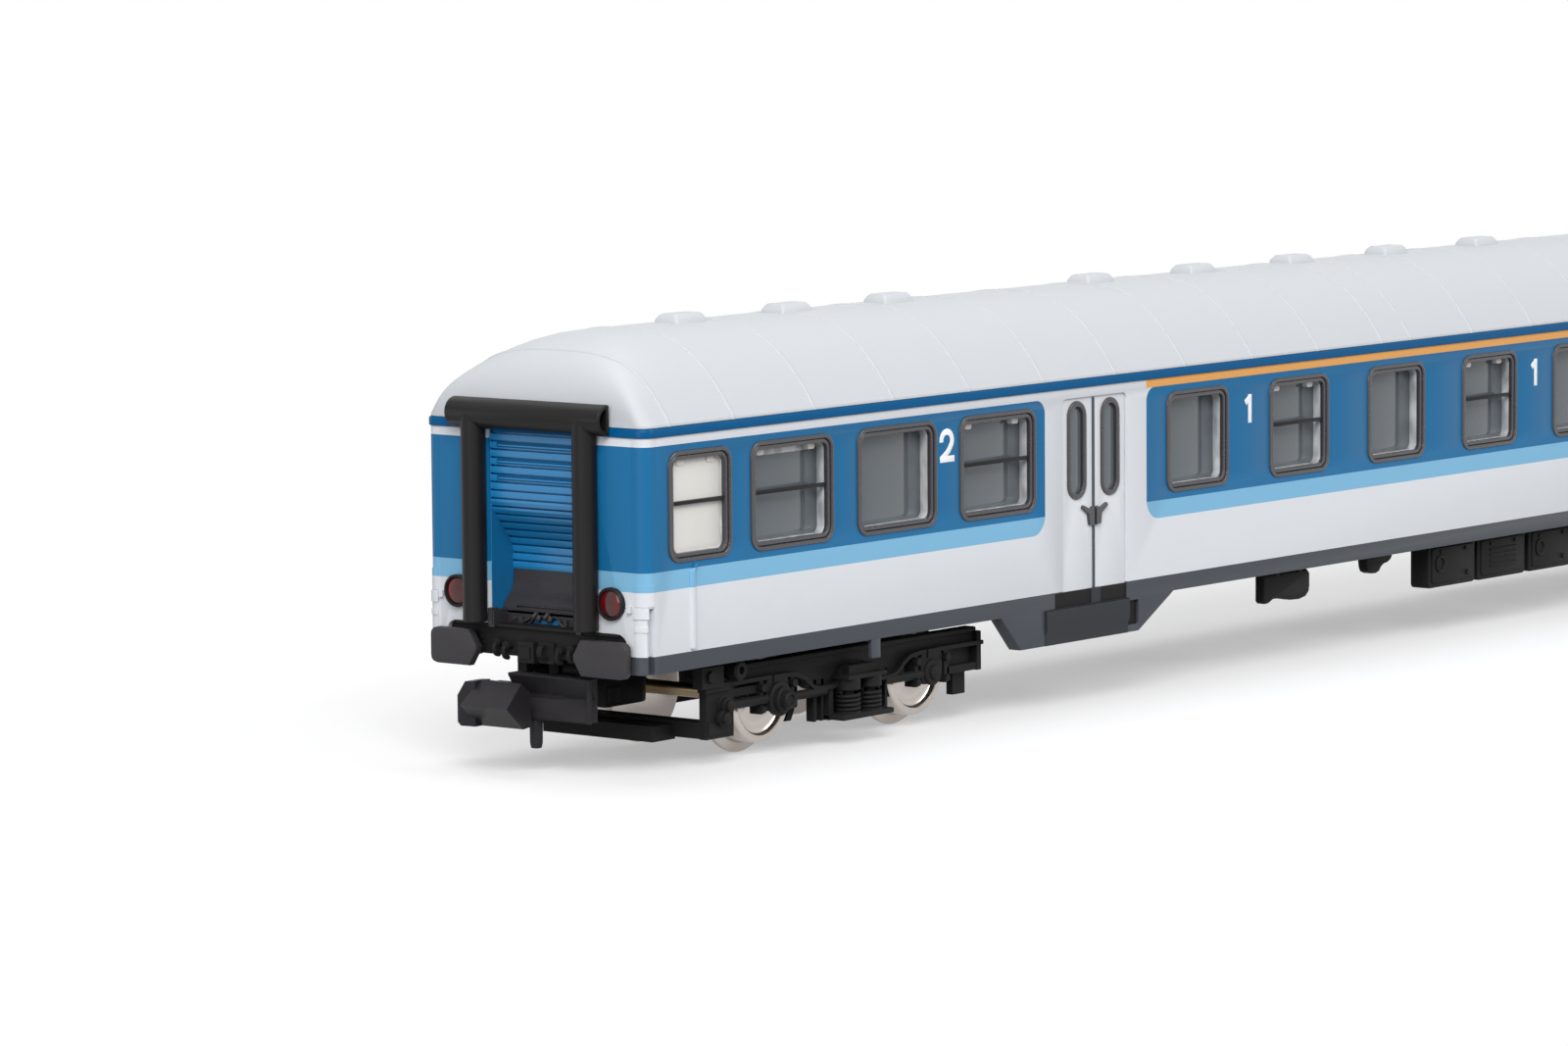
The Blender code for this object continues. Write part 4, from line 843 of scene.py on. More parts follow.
def doors():
    leaves, rubbers, panes, seams, grips = shapes(5)
    face = DOOR_FACE
    middle = (DOOR_BOTTOM + DOOR_TOP) / 2 + 0.02
    wing = [
        (0.1, 11.15), (0.62, 11.2), (0.72, 11.9), (1.42, 12.35),
        (1.3, 12.55), (0.5, 12.2), (0.3, 12.4), (0.1, 12.3),
    ]
    for x in DOORS:
        for side in BOTH:
            leaf = rounded((x + side * 1.82, middle), 3.46, DOOR_TOP - DOOR_BOTTOM + 0.1, 0.15, 4)
            window = x + side * 1.85
            leaves.plate([leaf, door_window(window, 0.1)], "Y", face, face + 0.4, 0.06)
            rubber = [door_window(window, 0), door_window(window, 0.4)]
            rubbers.plate(rubber, "Y", face - 0.12, face + 0.2, 0.1)
            panes.plate([door_window(window, 0.2)], "Y", face + 0.12, face + 0.18, 0.01)
            grips.prism([(x + side * a, b) for a, b in wing], "Y", face - 0.22, face + 0.05)
        seams.block((x - 0.16, x + 0.16), (face - 0.03, face + 0.3), (7.0, DOOR_TOP - 0.1))
    leaves.build("door_leaf_{}", "grey_paint", SIDES)
    rubbers.build("door_window_rubber_{}", "frame_rubber", SIDES)
    panes.build("door_pane_{}", "glass", SIDES)
    seams.build("door_seam_{}", "skirt_paint", SIDES, edge=0.04)
    grips.build("door_grip_{}", "frame_rubber", SIDES, edge=0.04)


def end_walls():
    half = HALF_WIDTH - CORNER
    cut = arc((6.5, CUT_TOP - 0.8), 0.8, 0, 90, 6)
    foot = [(half, SKIRT), (7.3, SKIRT)] + cut + [(GANGWAY_HALF, CUT_TOP), (GANGWAY_HALF, 20.55)]
    rim = foot + [(-a, b) for a, b in reversed(foot)] + [(-half, WALL_TOP), (half, WALL_TOP)]
    Shape().plate([rim], "X", -HALF_LENGTH, -HALF_LENGTH + WALL).build("end_wall_{}", "body_paint", ENDS)


def corner_steps():
    """Foot steps one over the other round the corners, the pads over them and the lamp irons."""
    steps = Shape()
    middle = (-HALF_LENGTH + CORNER, HALF_WIDTH - CORNER)
    rows = (
        (0.13, -8, 58, 9.36, 10.06), (0.06, -6, 52, 8.8, 9.4), (0.12, -6, 54, 8.56, 8.9),
        (0.07, -5, 50, 7.06, 8.6), (0.09, -5, 52, 5.97, 7.06), (0.06, -6, 90, 10.1, 11.42),
    )
    for side in BOTH:
        for proud, start, stop, low, high in rows:
            section = arc((0, 0), CORNER + proud, start, stop, 12)
            section += arc((0, 0), CORNER - 0.5, stop, start, 12)
            steps.prism([(middle[0] - a, side * (middle[1] + b)) for a, b in section], "Z", low, high)
        steps.block((-HALF_LENGTH - 0.24, -HALF_LENGTH + 0.3), span(side, 7.44, 7.76), (9.72, 10.16))
    steps.build("corner_steps_{}", "body_paint", ENDS, edge=0.04)


def gangway_jambs():
    jambs = Shape()
    for side in BOTH:
        across = span(side, GANGWAY_HALF - 0.04, GANGWAY_HALF + 0.5)
        jambs.block((-HALF_LENGTH + 0.26, -78.7), across, (8.1, 20.6))
    jambs.block((-80.2, -78.7), (-GANGWAY_HALF, GANGWAY_HALF), (7.7, 8.66))
    jambs.block((-HALF_LENGTH + 0.2, -78.9), (-GANGWAY_HALF - 0.3, GANGWAY_HALF + 0.3), (20.42, 20.7))
    jambs.build("gangway_jamb_{}", "blue_paint", ENDS, edge=0.05)


def corner_posts():
    """Round corner posts, with an upright groove beside the foot steps."""
    posts = Shape()
    reach = CORNER + 0.006
    groove_top = 10.02
    plain = [(9 * i, reach) for i in range(11)]
    grooved = plain[:7] + [(56, reach - 0.4), (84, reach - 0.4), (87, reach), (90, reach)]
    for profile, low, high in ((plain, groove_top, WALL_TOP), (grooved, SKIRT, groove_top)):
        section = [(far * math.cos(math.radians(t)), far * math.sin(math.radians(t))) for t, far in profile]
        section += [(-0.3, reach), (-0.3, -0.3), (reach, -0.3)]
        for x in BOTH:
            for y in BOTH:
                middle = (x * (HALF_LENGTH - CORNER), y * (HALF_WIDTH - CORNER))
                posts.prism([(middle[0] + x * a, middle[1] + y * b) for a, b in section], "Z", low, high)
    posts.build("corner_posts", "body_paint", replaces="body_shell", smooth=30)


def gutter():
    profile = [
        (-0.4, GUTTER), (0.08, GUTTER), (0.12, GUTTER + 0.04), (0.12, EAVES - 0.12), (0.06, EAVES - 0.02),
        (-0.05, EAVES), (-0.4, EAVES),
    ]
    rings = []
    for proud, z in profile:
        long, wide = 2 * (HALF_LENGTH + proud), 2 * (HALF_WIDTH + proud)
        outline = rounded((0, 0), long, wide, CORNER + max(proud, -0.3))
        rings.append([(x, y, z) for x, y in outline])
    Shape().loft(rings, True).build("gutter_strip", "gutter_paint")


def numerals():
    """Plain class numbers beside the windows."""
    digits = Shape()
    face = -HALF_WIDTH - 0.012
    two = smoothed(arc((0, 0.42), 0.56, 190, -30, 14) + [(0.1, -0.35), (-0.6, -0.76)], 1)
    one = [[(0.12, 0.97), (0.12, -0.97)], [(0.16, 0.8), (-0.42, 0.42)]]
    for end in BOTH:
        for x, strokes in ((51.79, [two, [(-0.72, -0.77), (0.78, -0.77)]]), (18.09, one)):
            for i, line in enumerate(strokes):
                outline = stroke([(end * x + a, 17.52 + b) for a, b in line], 0.4)
                digits.plate([outline], "Y", face - 0.004 * i, face + 0.03, 0.008)
    digits.build("class_numeral_{}", "white_print", SIDES)


# Windows


def window_rings(x, width, *shares):
    """Outlines of a window, each set in by a share of its rubber's width."""
    return [window_outline(x, width, size("frame_width") * share) for share in shares]


def side_windows():
    rubbers, panes, frosted, clips, edges, bars = shapes(6)
    face = -HALF_WIDTH - size("frame_proud")
    back = -8.5
    bar_high = size("bar_height")
    bar_z = WINDOW_BOTTOM + 0.51 * (WINDOW_TOP - WINDOW_BOTTOM) + bar_high / 2
    for x, width, drops in windows():
        toilet = abs(x) > TOILET_X - 1
        deep = -8.42 if toilet else -7.95
        glass = frosted if toilet and x < 0 else panes
        rubbers.plate(window_rings(x, width, 0, 0.5), "Y", face, face + 0.6, 0.1)
        rubbers.plate(window_rings(x, width, 0.52, 1), "Y", face + 0.1, back, 0.09)
        glass.plate(window_rings(x, width, 0.7), "Y", deep, deep + 0.08, 0.01)
        # The clear edges inside the rubbers, with painted highlights.
        edges.plate(window_rings(x, width, 0.8, 1.02), "Y", back, deep + 0.02, 0.02)
        if drops:
            half = width / 2 - size("frame_width") * 0.7
            bars.pad("Y", (-8.72, -8.36), (x, bar_z), 2 * half, bar_high, 0.05, 0.04, 2)
            reach = (deep - (0.08 if toilet else 0.41), deep + 0.04)
            for side in BOTH:
                corner = (x + side * (width / 2 - 1.6), WINDOW_TOP - 0.735)
                clips.pad("Y", reach, corner, 0.7, 0.43, 0.16, 0.03, 4)
    # Painted highlight: a pale and dark strip of the clear edge finish across the top of each pane beside the
    # toilets.
    for x in (-SECOND_CENTRES[-1], SECOND_CENTRES[-1]):
        edges.pad("Y", (-8.0, -7.93), (x, WINDOW_TOP - 0.8), SECOND_WIDTH - 2.2, 0.42, 0.1, 0.02)
    rubbers.build("window_rubber_{}", "frame_rubber", SIDES)
    bars.build("sash_bar_{}", "gangway_rubber", SIDES)
    edges.build("window_edge_{}", "clear_edge", SIDES)
    panes.build("window_pane_{}", "glass", SIDES, "glazing_{}")
    frosted.build("frosted_pane_{}", "frosted_glass", SIDES)
    clips.build("sash_clip_{}", "frosted_glass", SIDES)
    dress("seat_unit", "seat_plastic")


# Roof


def roof_height(y, x):
    """The roof's height over the eaves."""
    across = max(0, 1 - (abs(y) / HALF_WIDTH) ** ROOF_FULLNESS)
    past = max(0, abs(x) - HALF_LENGTH + DOME) / DOME
    dome = max(0, 1 - past**DOME_FULLNESS) ** (1 / DOME_FULLNESS)
    if min(across, dome) <= 0:
        return 0
    return ROOF_RISE * (across**-3 + dome**-3 - 1) ** (-1 / 3)


def roof_ring(x, proud=0.0):
    """The roof's section at a distance from the middle."""
    past = max(0, abs(x) - HALF_LENGTH + ROOF_TURN)
    half = HALF_WIDTH + proud - ROOF_TURN + math.sqrt(max(0, ROOF_TURN**2 - past**2))
    steps = 88
    ring = [(x, half, EAVES + 0.02)]
    for i in range(1, steps):
        y = half * math.cos(math.pi * i / steps)
        ring.append((x, y, EAVES + 0.15 + roof_height(y * HALF_WIDTH / half, x) + proud))
    return ring + [(x, -half, EAVES + 0.02)]


def roof():
    start = HALF_LENGTH - DOME
    turns = (88.5, 86, 83, 79, 74, 69, 63, 56, 48, 40, 31, 21, 10, 0)
    past = [DOME * math.sin(math.radians(t)) ** (2 / DOME_FULLNESS) for t in turns]
    rings = [roof_ring(-start - d) for d in past] + [roof_ring(start + d) for d in reversed(past)]
    Shape().loft(rings).build("roof_skin", "roof_paint", replaces="roof", smooth=50)
    seams, vents = shapes(2)
    half = size("seam_width") / 2
    proud = size("seam_proud")
    angles = [math.radians(t) for t in range(-30, 211, 30)]
    ridge = [(half * math.cos(t), proud * math.sin(t)) for t in angles]
    for end in BOTH:
        for x in [79.25, 73.14] + [65.25 - 7.93 * i for i in range(9)]:
            seams.loft([roof_ring(end * x - a, b) for a, b in ridge])
    seams.build("roof_seams", "roof_paint", smooth=80)
    vent = ((-0.48, 3.1, 1.95), (0.12, 3.05, 1.9), (0.34, 2.8, 1.66), (0.54, 2.5, 1.3))
    for x in list(FIRST_CENTRES) + [end * x for end in BOTH for x in SECOND_CENTRES]:
        levels = [(z, rounded((x, 0), long, wide, 0.2, 4)) for z, long, wide in vent]
        vents.loft([[(a, b, CREST + z) for a, b in outline] for z, outline in levels])
    vents.build("roof_vents", "roof_paint", edge=0.08)


# Gangway


def gangway_tubes():
    flat = -HALF_LENGTH - 0.02
    tubes = Shape()
    for side in BOTH:
        section = half_round((-HALF_LENGTH - 0.5, 0), 0.77, flat, 28)
        tubes.prism([(x, side * TUBE_Y + y) for x, y in section], "Z", 8.45, ROLL_Z)
    centre = (-HALF_LENGTH - 0.3, ROLL_Z)
    roll = [half_round(centre, 0.95, flat - 0.1, 36), half_round(centre, 0.66, flat - 0.3, 24)]
    tubes.plate(roll, "Y", -6.2, 6.2, 0.08)
    tubes.prism(half_round(centre, 0.7, flat - 0.2, 24), "Y", -5.0, 5.0)
    tubes.build("gangway_tubes_{}", "gangway_rubber", ENDS, "gangway_rubber_{}", 0.1)


def shutter_x(z):
    """Where the shutter's face lies: it sweeps back behind the end wall towards its foot."""
    bend, fall, behind, sweep = 16.0, 3.4, 0.3, 2.0
    share = min(1, max(0, (bend - z) / fall))
    return -HALF_LENGTH + (behind + sweep * share**2 * (3 - 2 * share))


def shutter():
    pitch, first, foot, top = 0.503, 20.123, 11.5, 20.5
    slat = ((0.0, -0.24), (0.19, -0.24), (0.21, 0.06), (0.5, 0.1), (0.97, 0.06))
    front = [(shutter_x(top), top)]
    z = first
    while z - pitch > foot:
        levels = [(z - share * pitch, proud) for share, proud in slat]
        front += [(shutter_x(level) - proud, level) for level, proud in levels]
        z -= pitch
    front.append((shutter_x(foot), foot))
    back = [(shutter_x(z) + 0.5, z) for z in [foot + (top - foot) * i / 24 for i in range(25)]]
    half = GANGWAY_HALF - 0.03
    curtain = Shape().prism(front + back, "Y", -half, half)
    # Painted light: the slats in a lighter copy of the dark blue.
    curtain.build("roller_shutter_{}", "shutter_paint", ENDS, "gangway_shutter_{}", smooth=25)
    # Painted shade: the slots' rims and backs are in the darker gutter blue.
    slots = Shape()
    for i in (1, 3, 5):
        z = first - (i + 0.52) * pitch
        x = shutter_x(z) - 0.12
        rim = [rounded((0, z), 6.36, 0.3, 0.1, 5), rounded((0, z), 6.2, 0.14, 0.06, 5)]
        slots.plate(rim, "X", x, x + 0.2, 0.03)
        slots.pad("X", (x + 0.01, x + 0.2), (0, z + 0.05), 6.2, 0.06, 0.02, 0.01)
    slots.build("shutter_slots_{}", "gutter_paint", ENDS)


def bridge():
    """The bridge plate, folded up: it leans back from its hinge."""
    end = -HALF_LENGTH
    front = end + 1.2
    half = GANGWAY_HALF - 0.08
    foot, sill = 8.05, 8.06
    lean = [
        (front, 8.9), (front, 9.3), (end + 1.5, 9.75),
        (end + 2.0, 10.2), (end + 2.2, 10.7), (end + 2.3, 11.75),
    ]
    leaf = Shape().prism(band(smoothed(lean), -0.4), "Y", -half, half)
    opening = [(a, sill + (b - sill) * 0.5) for a, b in arc((0.1, sill), 1.5, 180, 0, 14)]
    apron = [(half, foot), (half, 9.1), (-half, 9.1), (-half, foot)] + opening
    leaf.plate([apron], "X", front, front + 0.35, 0.04)
    rail = [rounded((0, 9.3), 5.2, 0.36, 0.08, 3), rounded((0, 9.3), 5.02, 0.18, 0.05, 3)]
    leaf.plate(rail, "X", front - 0.12, front + 0.15, 0.03)
    for y in (-0.06, 0.87):
        hook = [(0.0, 0.0, 9.1), (-0.2, 0.0, 9.0), (-0.3, 0.1, 8.82), (-0.22, 0.2, 8.66)]
        leaf.tube([(front + a, y + b, z) for a, b, z in hook], 0.13, 10)
        boss = [(0.24, front + 0.05), (0.24, front - 0.14), (0.14, front - 0.2)]
        leaf.lathe(boss, "X", (y - 0.05, 8.72), 16)
    for y in (-1.45, 2.15):
        leaf.block((front - 0.16, front + 0.1), (y - 0.14, y + 0.14), (8.2, 8.75))
        stay = [(-0.1, y + 0.14, 8.3), (-0.16, y * 0.8 + 0.07, 8.5), (-0.1, y * 0.62 + 0.04, 8.72)]
        leaf.tube([(front + a, b, z) for a, b, z in stay], 0.09)
    for side in BOTH:
        leaf.block((end - 0.12, front + 0.2), span(side, 3.32, half + 0.04), (8.12, 9.16))
        leaf.block((end - 0.2, end + 0.4), span(side, 3.4, half + 0.03), (8.3, 9.3))
        leaf.rod("X", (side * 2.75, 8.62), 0.17, front - 0.12, front + 0.1, 12)
    # Painted light: the bridge leaf in the lighter copy of the black plastic.
    leaf.build("bridge_leaf_{}", "buffer_plastic", ENDS, "bridge_plate_{}", 0.04)


# Headstocks


def buffer_beam():
    """The beam with its draw hook, hoses and buffer seats."""
    front = -HALF_LENGTH + 0.3
    low = 6.4
    beam = Shape().pad("X", (front, front + 1.8), (0, (low + CUT_TOP) / 2), 14.4, CUT_TOP - low, 0.6, 0.06, 6)
    beam.pad("X", (front - 0.3, front + 0.2), (0, CUT_TOP - 0.1), 13.2, 0.2, 0.08)
    hook = [(0.0, 6.55), (-0.45, 6.5), (-0.75, 6.75), (-0.7, 7.1), (-0.45, 7.15)]
    beam.prism(band(smoothed([(front + a, z) for a, z in hook]), 0.2), "Y", -0.95, -0.55)
    beam.block((front - 0.45, front + 0.1), (0.1, 1.4), (6.1, 7.4))
    beam.block((front - 0.55, front), (0.35, 1.15), (6.35, 7.1))
    beam.block((front - 0.3, front + 0.1), (-1.4, -0.2), (6.15, 7.45))
    for y, foot in ((-1.95, 6.25), (2.35, 6.3), (-2.9, 6.4), (3.1, 6.45)):
        beam.rod("X", (y, foot + 0.75), 0.27, front - 0.5, front + 0.1, 16)
        hose = smoothed([(-0.4, 0.75), (-0.65, 0.62), (-0.6, 0.1), (-0.2, 0.0)])
        beam.tube([(front + a, y, foot + b) for a, b in hose], 0.16, 10)
    for side in BOTH:
        seat = [(0.95, front), (0.95, front - 0.12), (0.8, front - 0.18)]
        beam.lathe(seat, "X", (side * BUFFER_Y, BUFFER_Z), 28)
        for y, z in ((1.15, 0.62), (-1.15, 0.62), (1.15, -0.05), (-1.15, -0.05)):
            beam.rod("X", (side * BUFFER_Y + y, BUFFER_Z + z), 0.14, front - 0.1, front + 0.1, 6)
    beam.build("buffer_beam_{}", "black_plastic", ENDS, "headstock_{}", 0.04)


def buffer(side, word):
    w, h = 2.1, 1.12
    near = -1.65 if side > 0 else -w
    lower = [
        (near, -0.16), (near + 0.6, -h), (w - 0.5, -h),
        (w - 0.2, -h + 0.08), (w - 0.04, -h + 0.26), (w, -h + 0.5),
    ]
    outline = lower + [(a, -b) for a, b in reversed(lower)]
    outline = [(side * (BUFFER_Y + a), BUFFER_Z + 0.07 + b) for a, b in outline]
    face = -HALF_LENGTH - 0.9
    head = Shape().plate([outline], "X", face, face + 0.62, 0.12)
    head.lathe([(0.62, -80.3), (0.62, face + 0.7), (0.9, face + 0.5)], "X", (side * BUFFER_Y, BUFFER_Z), 24)
    # Painted light: the buffer heads in the lighter copy of the black plastic.
    head.build("buffer_head_{}_" + word, "buffer_plastic", ENDS, "buffer_{}_" + word)


def tail_lamp(side, word):
    centre = (side * LAMP_Y, LAMP_Z)
    ring = [(1.0, 0.1), (1.02, -0.3), (0.96, -0.36), (0.86, -0.34), (0.83, -0.2), (0.83, 0.1)]
    lens = [(0.82, 0.1), (0.82, -0.2), (0.7, -0.27), (0.45, -0.32), (0.12, -0.34)]
    ring, lens = ([(r, -HALF_LENGTH + a) for r, a in profile] for profile in (ring, lens))
    Shape().lathe(ring, "X", centre, 40, True).build("lamp_ring_{}_" + word, "gangway_rubber", ENDS)
    glass = Shape().lathe(lens, "X", centre, 40)
    glass.build("lamp_lens_{}_" + word, "lamp_lens", ENDS, "tail_lamp_{}_" + word)


def buffers_and_lamps():
    for side, word in HANDS:
        buffer(side, word)
        tail_lamp(side, word)


# Bogies: blocks of a side frame as (start, end, inner face, outer face, bottom, top), along from the pivot

SIDE_BLOCKS = (
    # Guide arm, box beside the coupler and the bracket over it
    (-12.7, -9.0, 6.4, 6.95, 3.45, 3.95),
    (-14.7, -12.05, 6.5, 7.05, 1.06, 4.1),
    (-14.55, -12.2, 6.4, 7.12, 1.3, 2.1),
    (-15.6, -13.5, 6.76, 7.5, 4.3, 5.6),
    (-15.0, -12.6, 6.62, 7.3, 4.0, 4.5),
    (-13.5, -12.0, 6.2, 6.9, 4.1, 5.3),
    # The stay that closes the guide at the far end
    (9.6, 13.2, 6.35, 7.0, 2.56, 3.04),
    (12.8, 13.25, 6.3, 7.05, 2.52, 5.05),
    (9.55, 9.9, 6.35, 7.0, 2.6, 4.3),
    (9.7, 13.0, 6.1, 6.5, 2.7, 4.5),
    (11.3, 12.6, 5.7, 6.2, 1.0, 2.95),
    # The bolster's seat over the springs and the plank behind them
    (-1.95, 1.95, 6.4, 8.15, 3.5, 3.75),
    (-1.35, 1.35, 6.4, 7.7, 3.7, 4.3),
    (-2.7, 2.7, 5.75, 6.25, 1.05, 3.9),
)
# Hangers beside the springs, at both ends alike
HANGER_BLOCKS = (
    (2.15, 2.6, 6.4, 7.05, 0.95, 3.1),
    (2.75, 3.0, 6.15, 6.75, 0.95, 3.6),
    (3.5, 3.75, 6.15, 6.75, 0.95, 3.6),
    (2.8, 3.7, 6.1, 6.5, 1.1, 4.3),
)
# Turned fittings as (radius, distance across)
OUTER_CAP = (
    (1.08, 7.1), (1.08, 7.42), (0.95, 7.5), (0.8, 7.5), (0.8, 7.78), (0.7, 7.86), (0.56, 7.86), (0.56, 8.2),
    (0.48, 8.3), (0.34, 8.3), (0.3, 8.2), (0.12, 8.2),
)
INNER_CAP = ((0.85, 7.1), (0.85, 7.3), (0.76, 7.38), (0.5, 7.38), (0.46, 7.52), (0.36, 7.58), (0.12, 7.58))
KNOB = (
    (0.62, 6.7), (0.62, 7.1), (0.5, 7.14), (0.5, 7.42), (0.36, 7.46), (0.36, 7.7), (0.24, 7.76), (0.1, 7.76),
)
DAMPER_END = ((0.62, 6.6), (0.62, 7.85), (0.5, 7.95), (0.26, 7.95), (0.22, 7.7), (0.1, 7.7))
WHEEL = (
    (0.55, 3.7), (3.3, 3.7), (3.48, 3.74), (3.58, 3.84), (3.6, 3.95), (3.52, 4.06), (3.2, 4.14), (3.0, 4.24),
    (2.92, 4.45), (2.88, 5.72), (2.8, 5.82), (2.42, 5.85), (2.36, 5.8), (2.3, 5.52), (2.2, 5.46), (1.1, 5.46),
    (0.98, 5.52), (0.92, 5.78), (0.84, 5.84), (0.55, 5.84),
)


def bogie_side(shape, side):
    def block(a, b, inner, outer, bottom, top):
        shape.block((PIVOT + a, PIVOT + b), span(side, inner, outer), (bottom, top))

    def turned(profile, x, z, steps):
        shape.lathe([(r, side * y) for r, y in profile], "Y", (PIVOT + x, z), steps)

    edge = [
        (13.3, 4.18), (6.6, 4.22), (5.3, 3.95), (4.6, 3.3),
        (3.9, 2.95), (1.9, 2.95), (1.5, 3.2), (1.42, 4.0),
    ]
    half = smoothed(edge)
    lower = [(PIVOT - a, z) for a, z in half] + [(PIVOT + a, z) for a, z in reversed(half)]
    top = [(13.3, 5.0), (12.6, 5.36), (-12.6, 5.36), (-13.3, 5.0)]
    shape.plate([lower + [(PIVOT + a, z) for a, z in top]], "Y", *span(side, 6.1, 6.75), 0.05)
    shape.prism(band(lower, 0.26), "Y", *span(side, 6.4, 7.22))
    shape.pad("Y", span(side, 6.1, 7.0), (PIVOT, 5.22), 25.6, 0.3, 0.1, 0.06)
    for end in BOTH:
        axle = end * HALF_BASE
        shape.pad("Y", span(side, 6.15, 7.2), (PIVOT + axle, AXLE_Z + 0.35), 2.2, 2.2, 0.5, 0.1, 5)
        turned(INNER_CAP if end > 0 else OUTER_CAP, axle, AXLE_Z, 28)
        low, high = sorted((axle - end * 0.9, end * 3.0))
        shape.rod("X", (side * 7.0, AXLE_Z - 0.05), 0.3, PIVOT + low, PIVOT + high, 14)
        for x in (axle - 1.55, axle + 1.5):
            block(x - 0.16, x + 0.16, 6.3, 7.15, 2.1, 4.3)
            shape.rod("Y", (PIVOT + x, 3.75), 0.26, *span(side, 6.9, 7.4), 12)
            shape.rod("Y", (PIVOT + x, 2.4), 0.22, *span(side, 6.9, 7.36), 12)
        block(axle - 0.5, axle + 0.5, 6.5, 7.3, 3.9, 4.45)
        for a, b, *rest in HANGER_BLOCKS:
            block(*span(end, a, b), *rest)
        spring = (PIVOT + end * SPRING_X, side * SPRING_Y)
        cup = [(0.4, 3.55), (0.78, 3.55), (0.78, 2.82), (0.6, 2.74), (0.4, 2.74)]
        shape.lathe(cup, "Z", spring, 24, True)
        shape.rod("Z", spring, 0.8, 1.25, 1.45, 24)
        shape.rod("Z", spring, 0.36, 1.3, 2.9, 12)
    for row in SIDE_BLOCKS:
        block(*row)
    shape.rod("X", (side * 7.1, AXLE_Z + 0.08), 0.3, PIVOT - 12.9, PIVOT - 8.7, 14)
    turned(KNOB, -13.02, 3.05, 20)
    turned(KNOB[2:], -13.4, 2.3, 16)
    turned(DAMPER_END, -12.3, 5.2, 24)
    shape.rod("Y", (PIVOT - 14.8, 5.0), 0.4, *span(side, 7.4, 7.7), 6)
    shape.pad("Y", span(side, 6.4, 8.2), (PIVOT, 1.15), 5.2, 0.34, 0.1)


def bogie_middle(shape):
    """Transoms, brake shoes, pivot ring and the foot guard at the outer end."""
    for end in BOTH:
        shape.block(sorted((PIVOT + end * 2.7, PIVOT + end * 3.8)), (-6.3, 6.3), (3.9, 4.75))
        tread = PIVOT + end * 4.55
        shoe = arc((PIVOT + end * HALF_BASE, AXLE_Z), 3.25, *((150, 215) if end > 0 else (30, -35)), 10)
        shoe += [(a - end * 0.55, b) for a, b in reversed(shoe)]
        for y in (-5.1, 5.1):
            shape.prism(shoe, "Y", y - 0.5, y + 0.5)
            shape.block(sorted((tread - end * 0.1, tread - end * 0.9)), (y - 0.25, y + 0.25), (2.0, 4.4))
    shape.block((PIVOT - 3.2, PIVOT + 3.2), (-6.2, 6.2), (4.15, 4.6))
    for y in (-3.0, 3.0):
        shape.block((PIVOT - 11.4, PIVOT + 11.4), (y - 0.4, y + 0.4), (4.2, 5.2))
    shape.lathe([(1.2, 4.4), (2.4, 4.4), (2.4, 5.4), (1.2, 5.4)], "Z", (PIVOT, 0), 32, True)
    front = PIVOT - 14.78
    shape.block((front - 1.97, front + 0.2), (-4.45, 4.45), (0.95, 1.92))
    shape.block((front + 0.05, front + 1.3), (-6.7, 6.7), (1.1, 2.1))
    for y in (-6.35, 6.35):
        shape.block((front + 1.2, PIVOT - 11.0), (y - 0.25, y + 0.25), (3.9, 4.6))


def bogie_frames():
    casting = Shape()
    bogie_middle(casting)
    for side in BOTH:
        bogie_side(casting, side)
    casting.build("bogie_casting_{}", "black_plastic", ENDS, "bogie_frame_{}", 0.05, body="bogie_{}")


def bogie_springs():
    springs = Shape()
    turns, points = 4.5, 18
    for side in BOTH:
        for end in BOTH:
            x, y = PIVOT + end * SPRING_X, side * SPRING_Y
            line = []
            for i in range(round(turns * points) + 1):
                t = math.tau * i / points
                rise = 1.25 * i / (turns * points)
                line.append((x + 0.68 * math.cos(t), y + 0.68 * math.sin(t), 1.4 + rise))
            springs.tube(line, 0.125, 8)
    springs.build("bogie_springs_{}", "black_plastic", ENDS, smooth=60, body="bogie_{}")


def wheelsets():
    shaft = [(0.12, -6.95), (0.45, -6.3), (0.45, 6.3), (0.12, 6.95)]
    for end, word in ((-1, "outer"), (1, "inner")):
        centre = (PIVOT + end * HALF_BASE, AXLE_Z)
        body = "wheelset_{}_" + word
        for side, hand in HANDS:
            wheel = Shape().lathe([(r, side * y) for r, y in WHEEL], "Y", centre, 96, True)
            name = "{}_" + word + "_" + hand
            wheel.build("wheel_disc_" + name, "nickel", ENDS, "wheel_" + name, smooth=32, body=body)
        axle = Shape().lathe(shaft, "Y", centre, 24)
        axle.build("axle_shaft_{}_" + word, "brass", ENDS, "axle_{}_" + word, body=body)


# Couplers


def drawbars():
    bar = Shape()
    heel = arc((SWING_X, 0), 1.5, -90, 90, 16)
    fork = [(-78.7, 1.5), (-78.7, 0.72), (-76.8, 0.72), (-76.8, -0.72), (-78.7, -0.72), (-78.7, -1.5)]
    bar.plate([fork + heel, circle((SWING_X, 0), 0.68, 20)], "Z", 4.75, 5.9, 0.08)
    bar.plate([[(-76.9, 1.5), (-76.9, -1.5)] + heel, circle((SWING_X, 0), 1.2, 24)], "Z", 2.95, 4.8, 0.1)
    bar.pad("Y", (-1.62, 1.62), (-76.2, 3.7), 1.2, 1.1, 0.15, 0.06, 4)
    bar.rod("Z", (-75.6, 0), 0.3, 5.7, 6.05, 14)
    bar.build("drawbar_arm_{}", "black_plastic", ENDS, "drawbar_{}", body="coupling_{}")


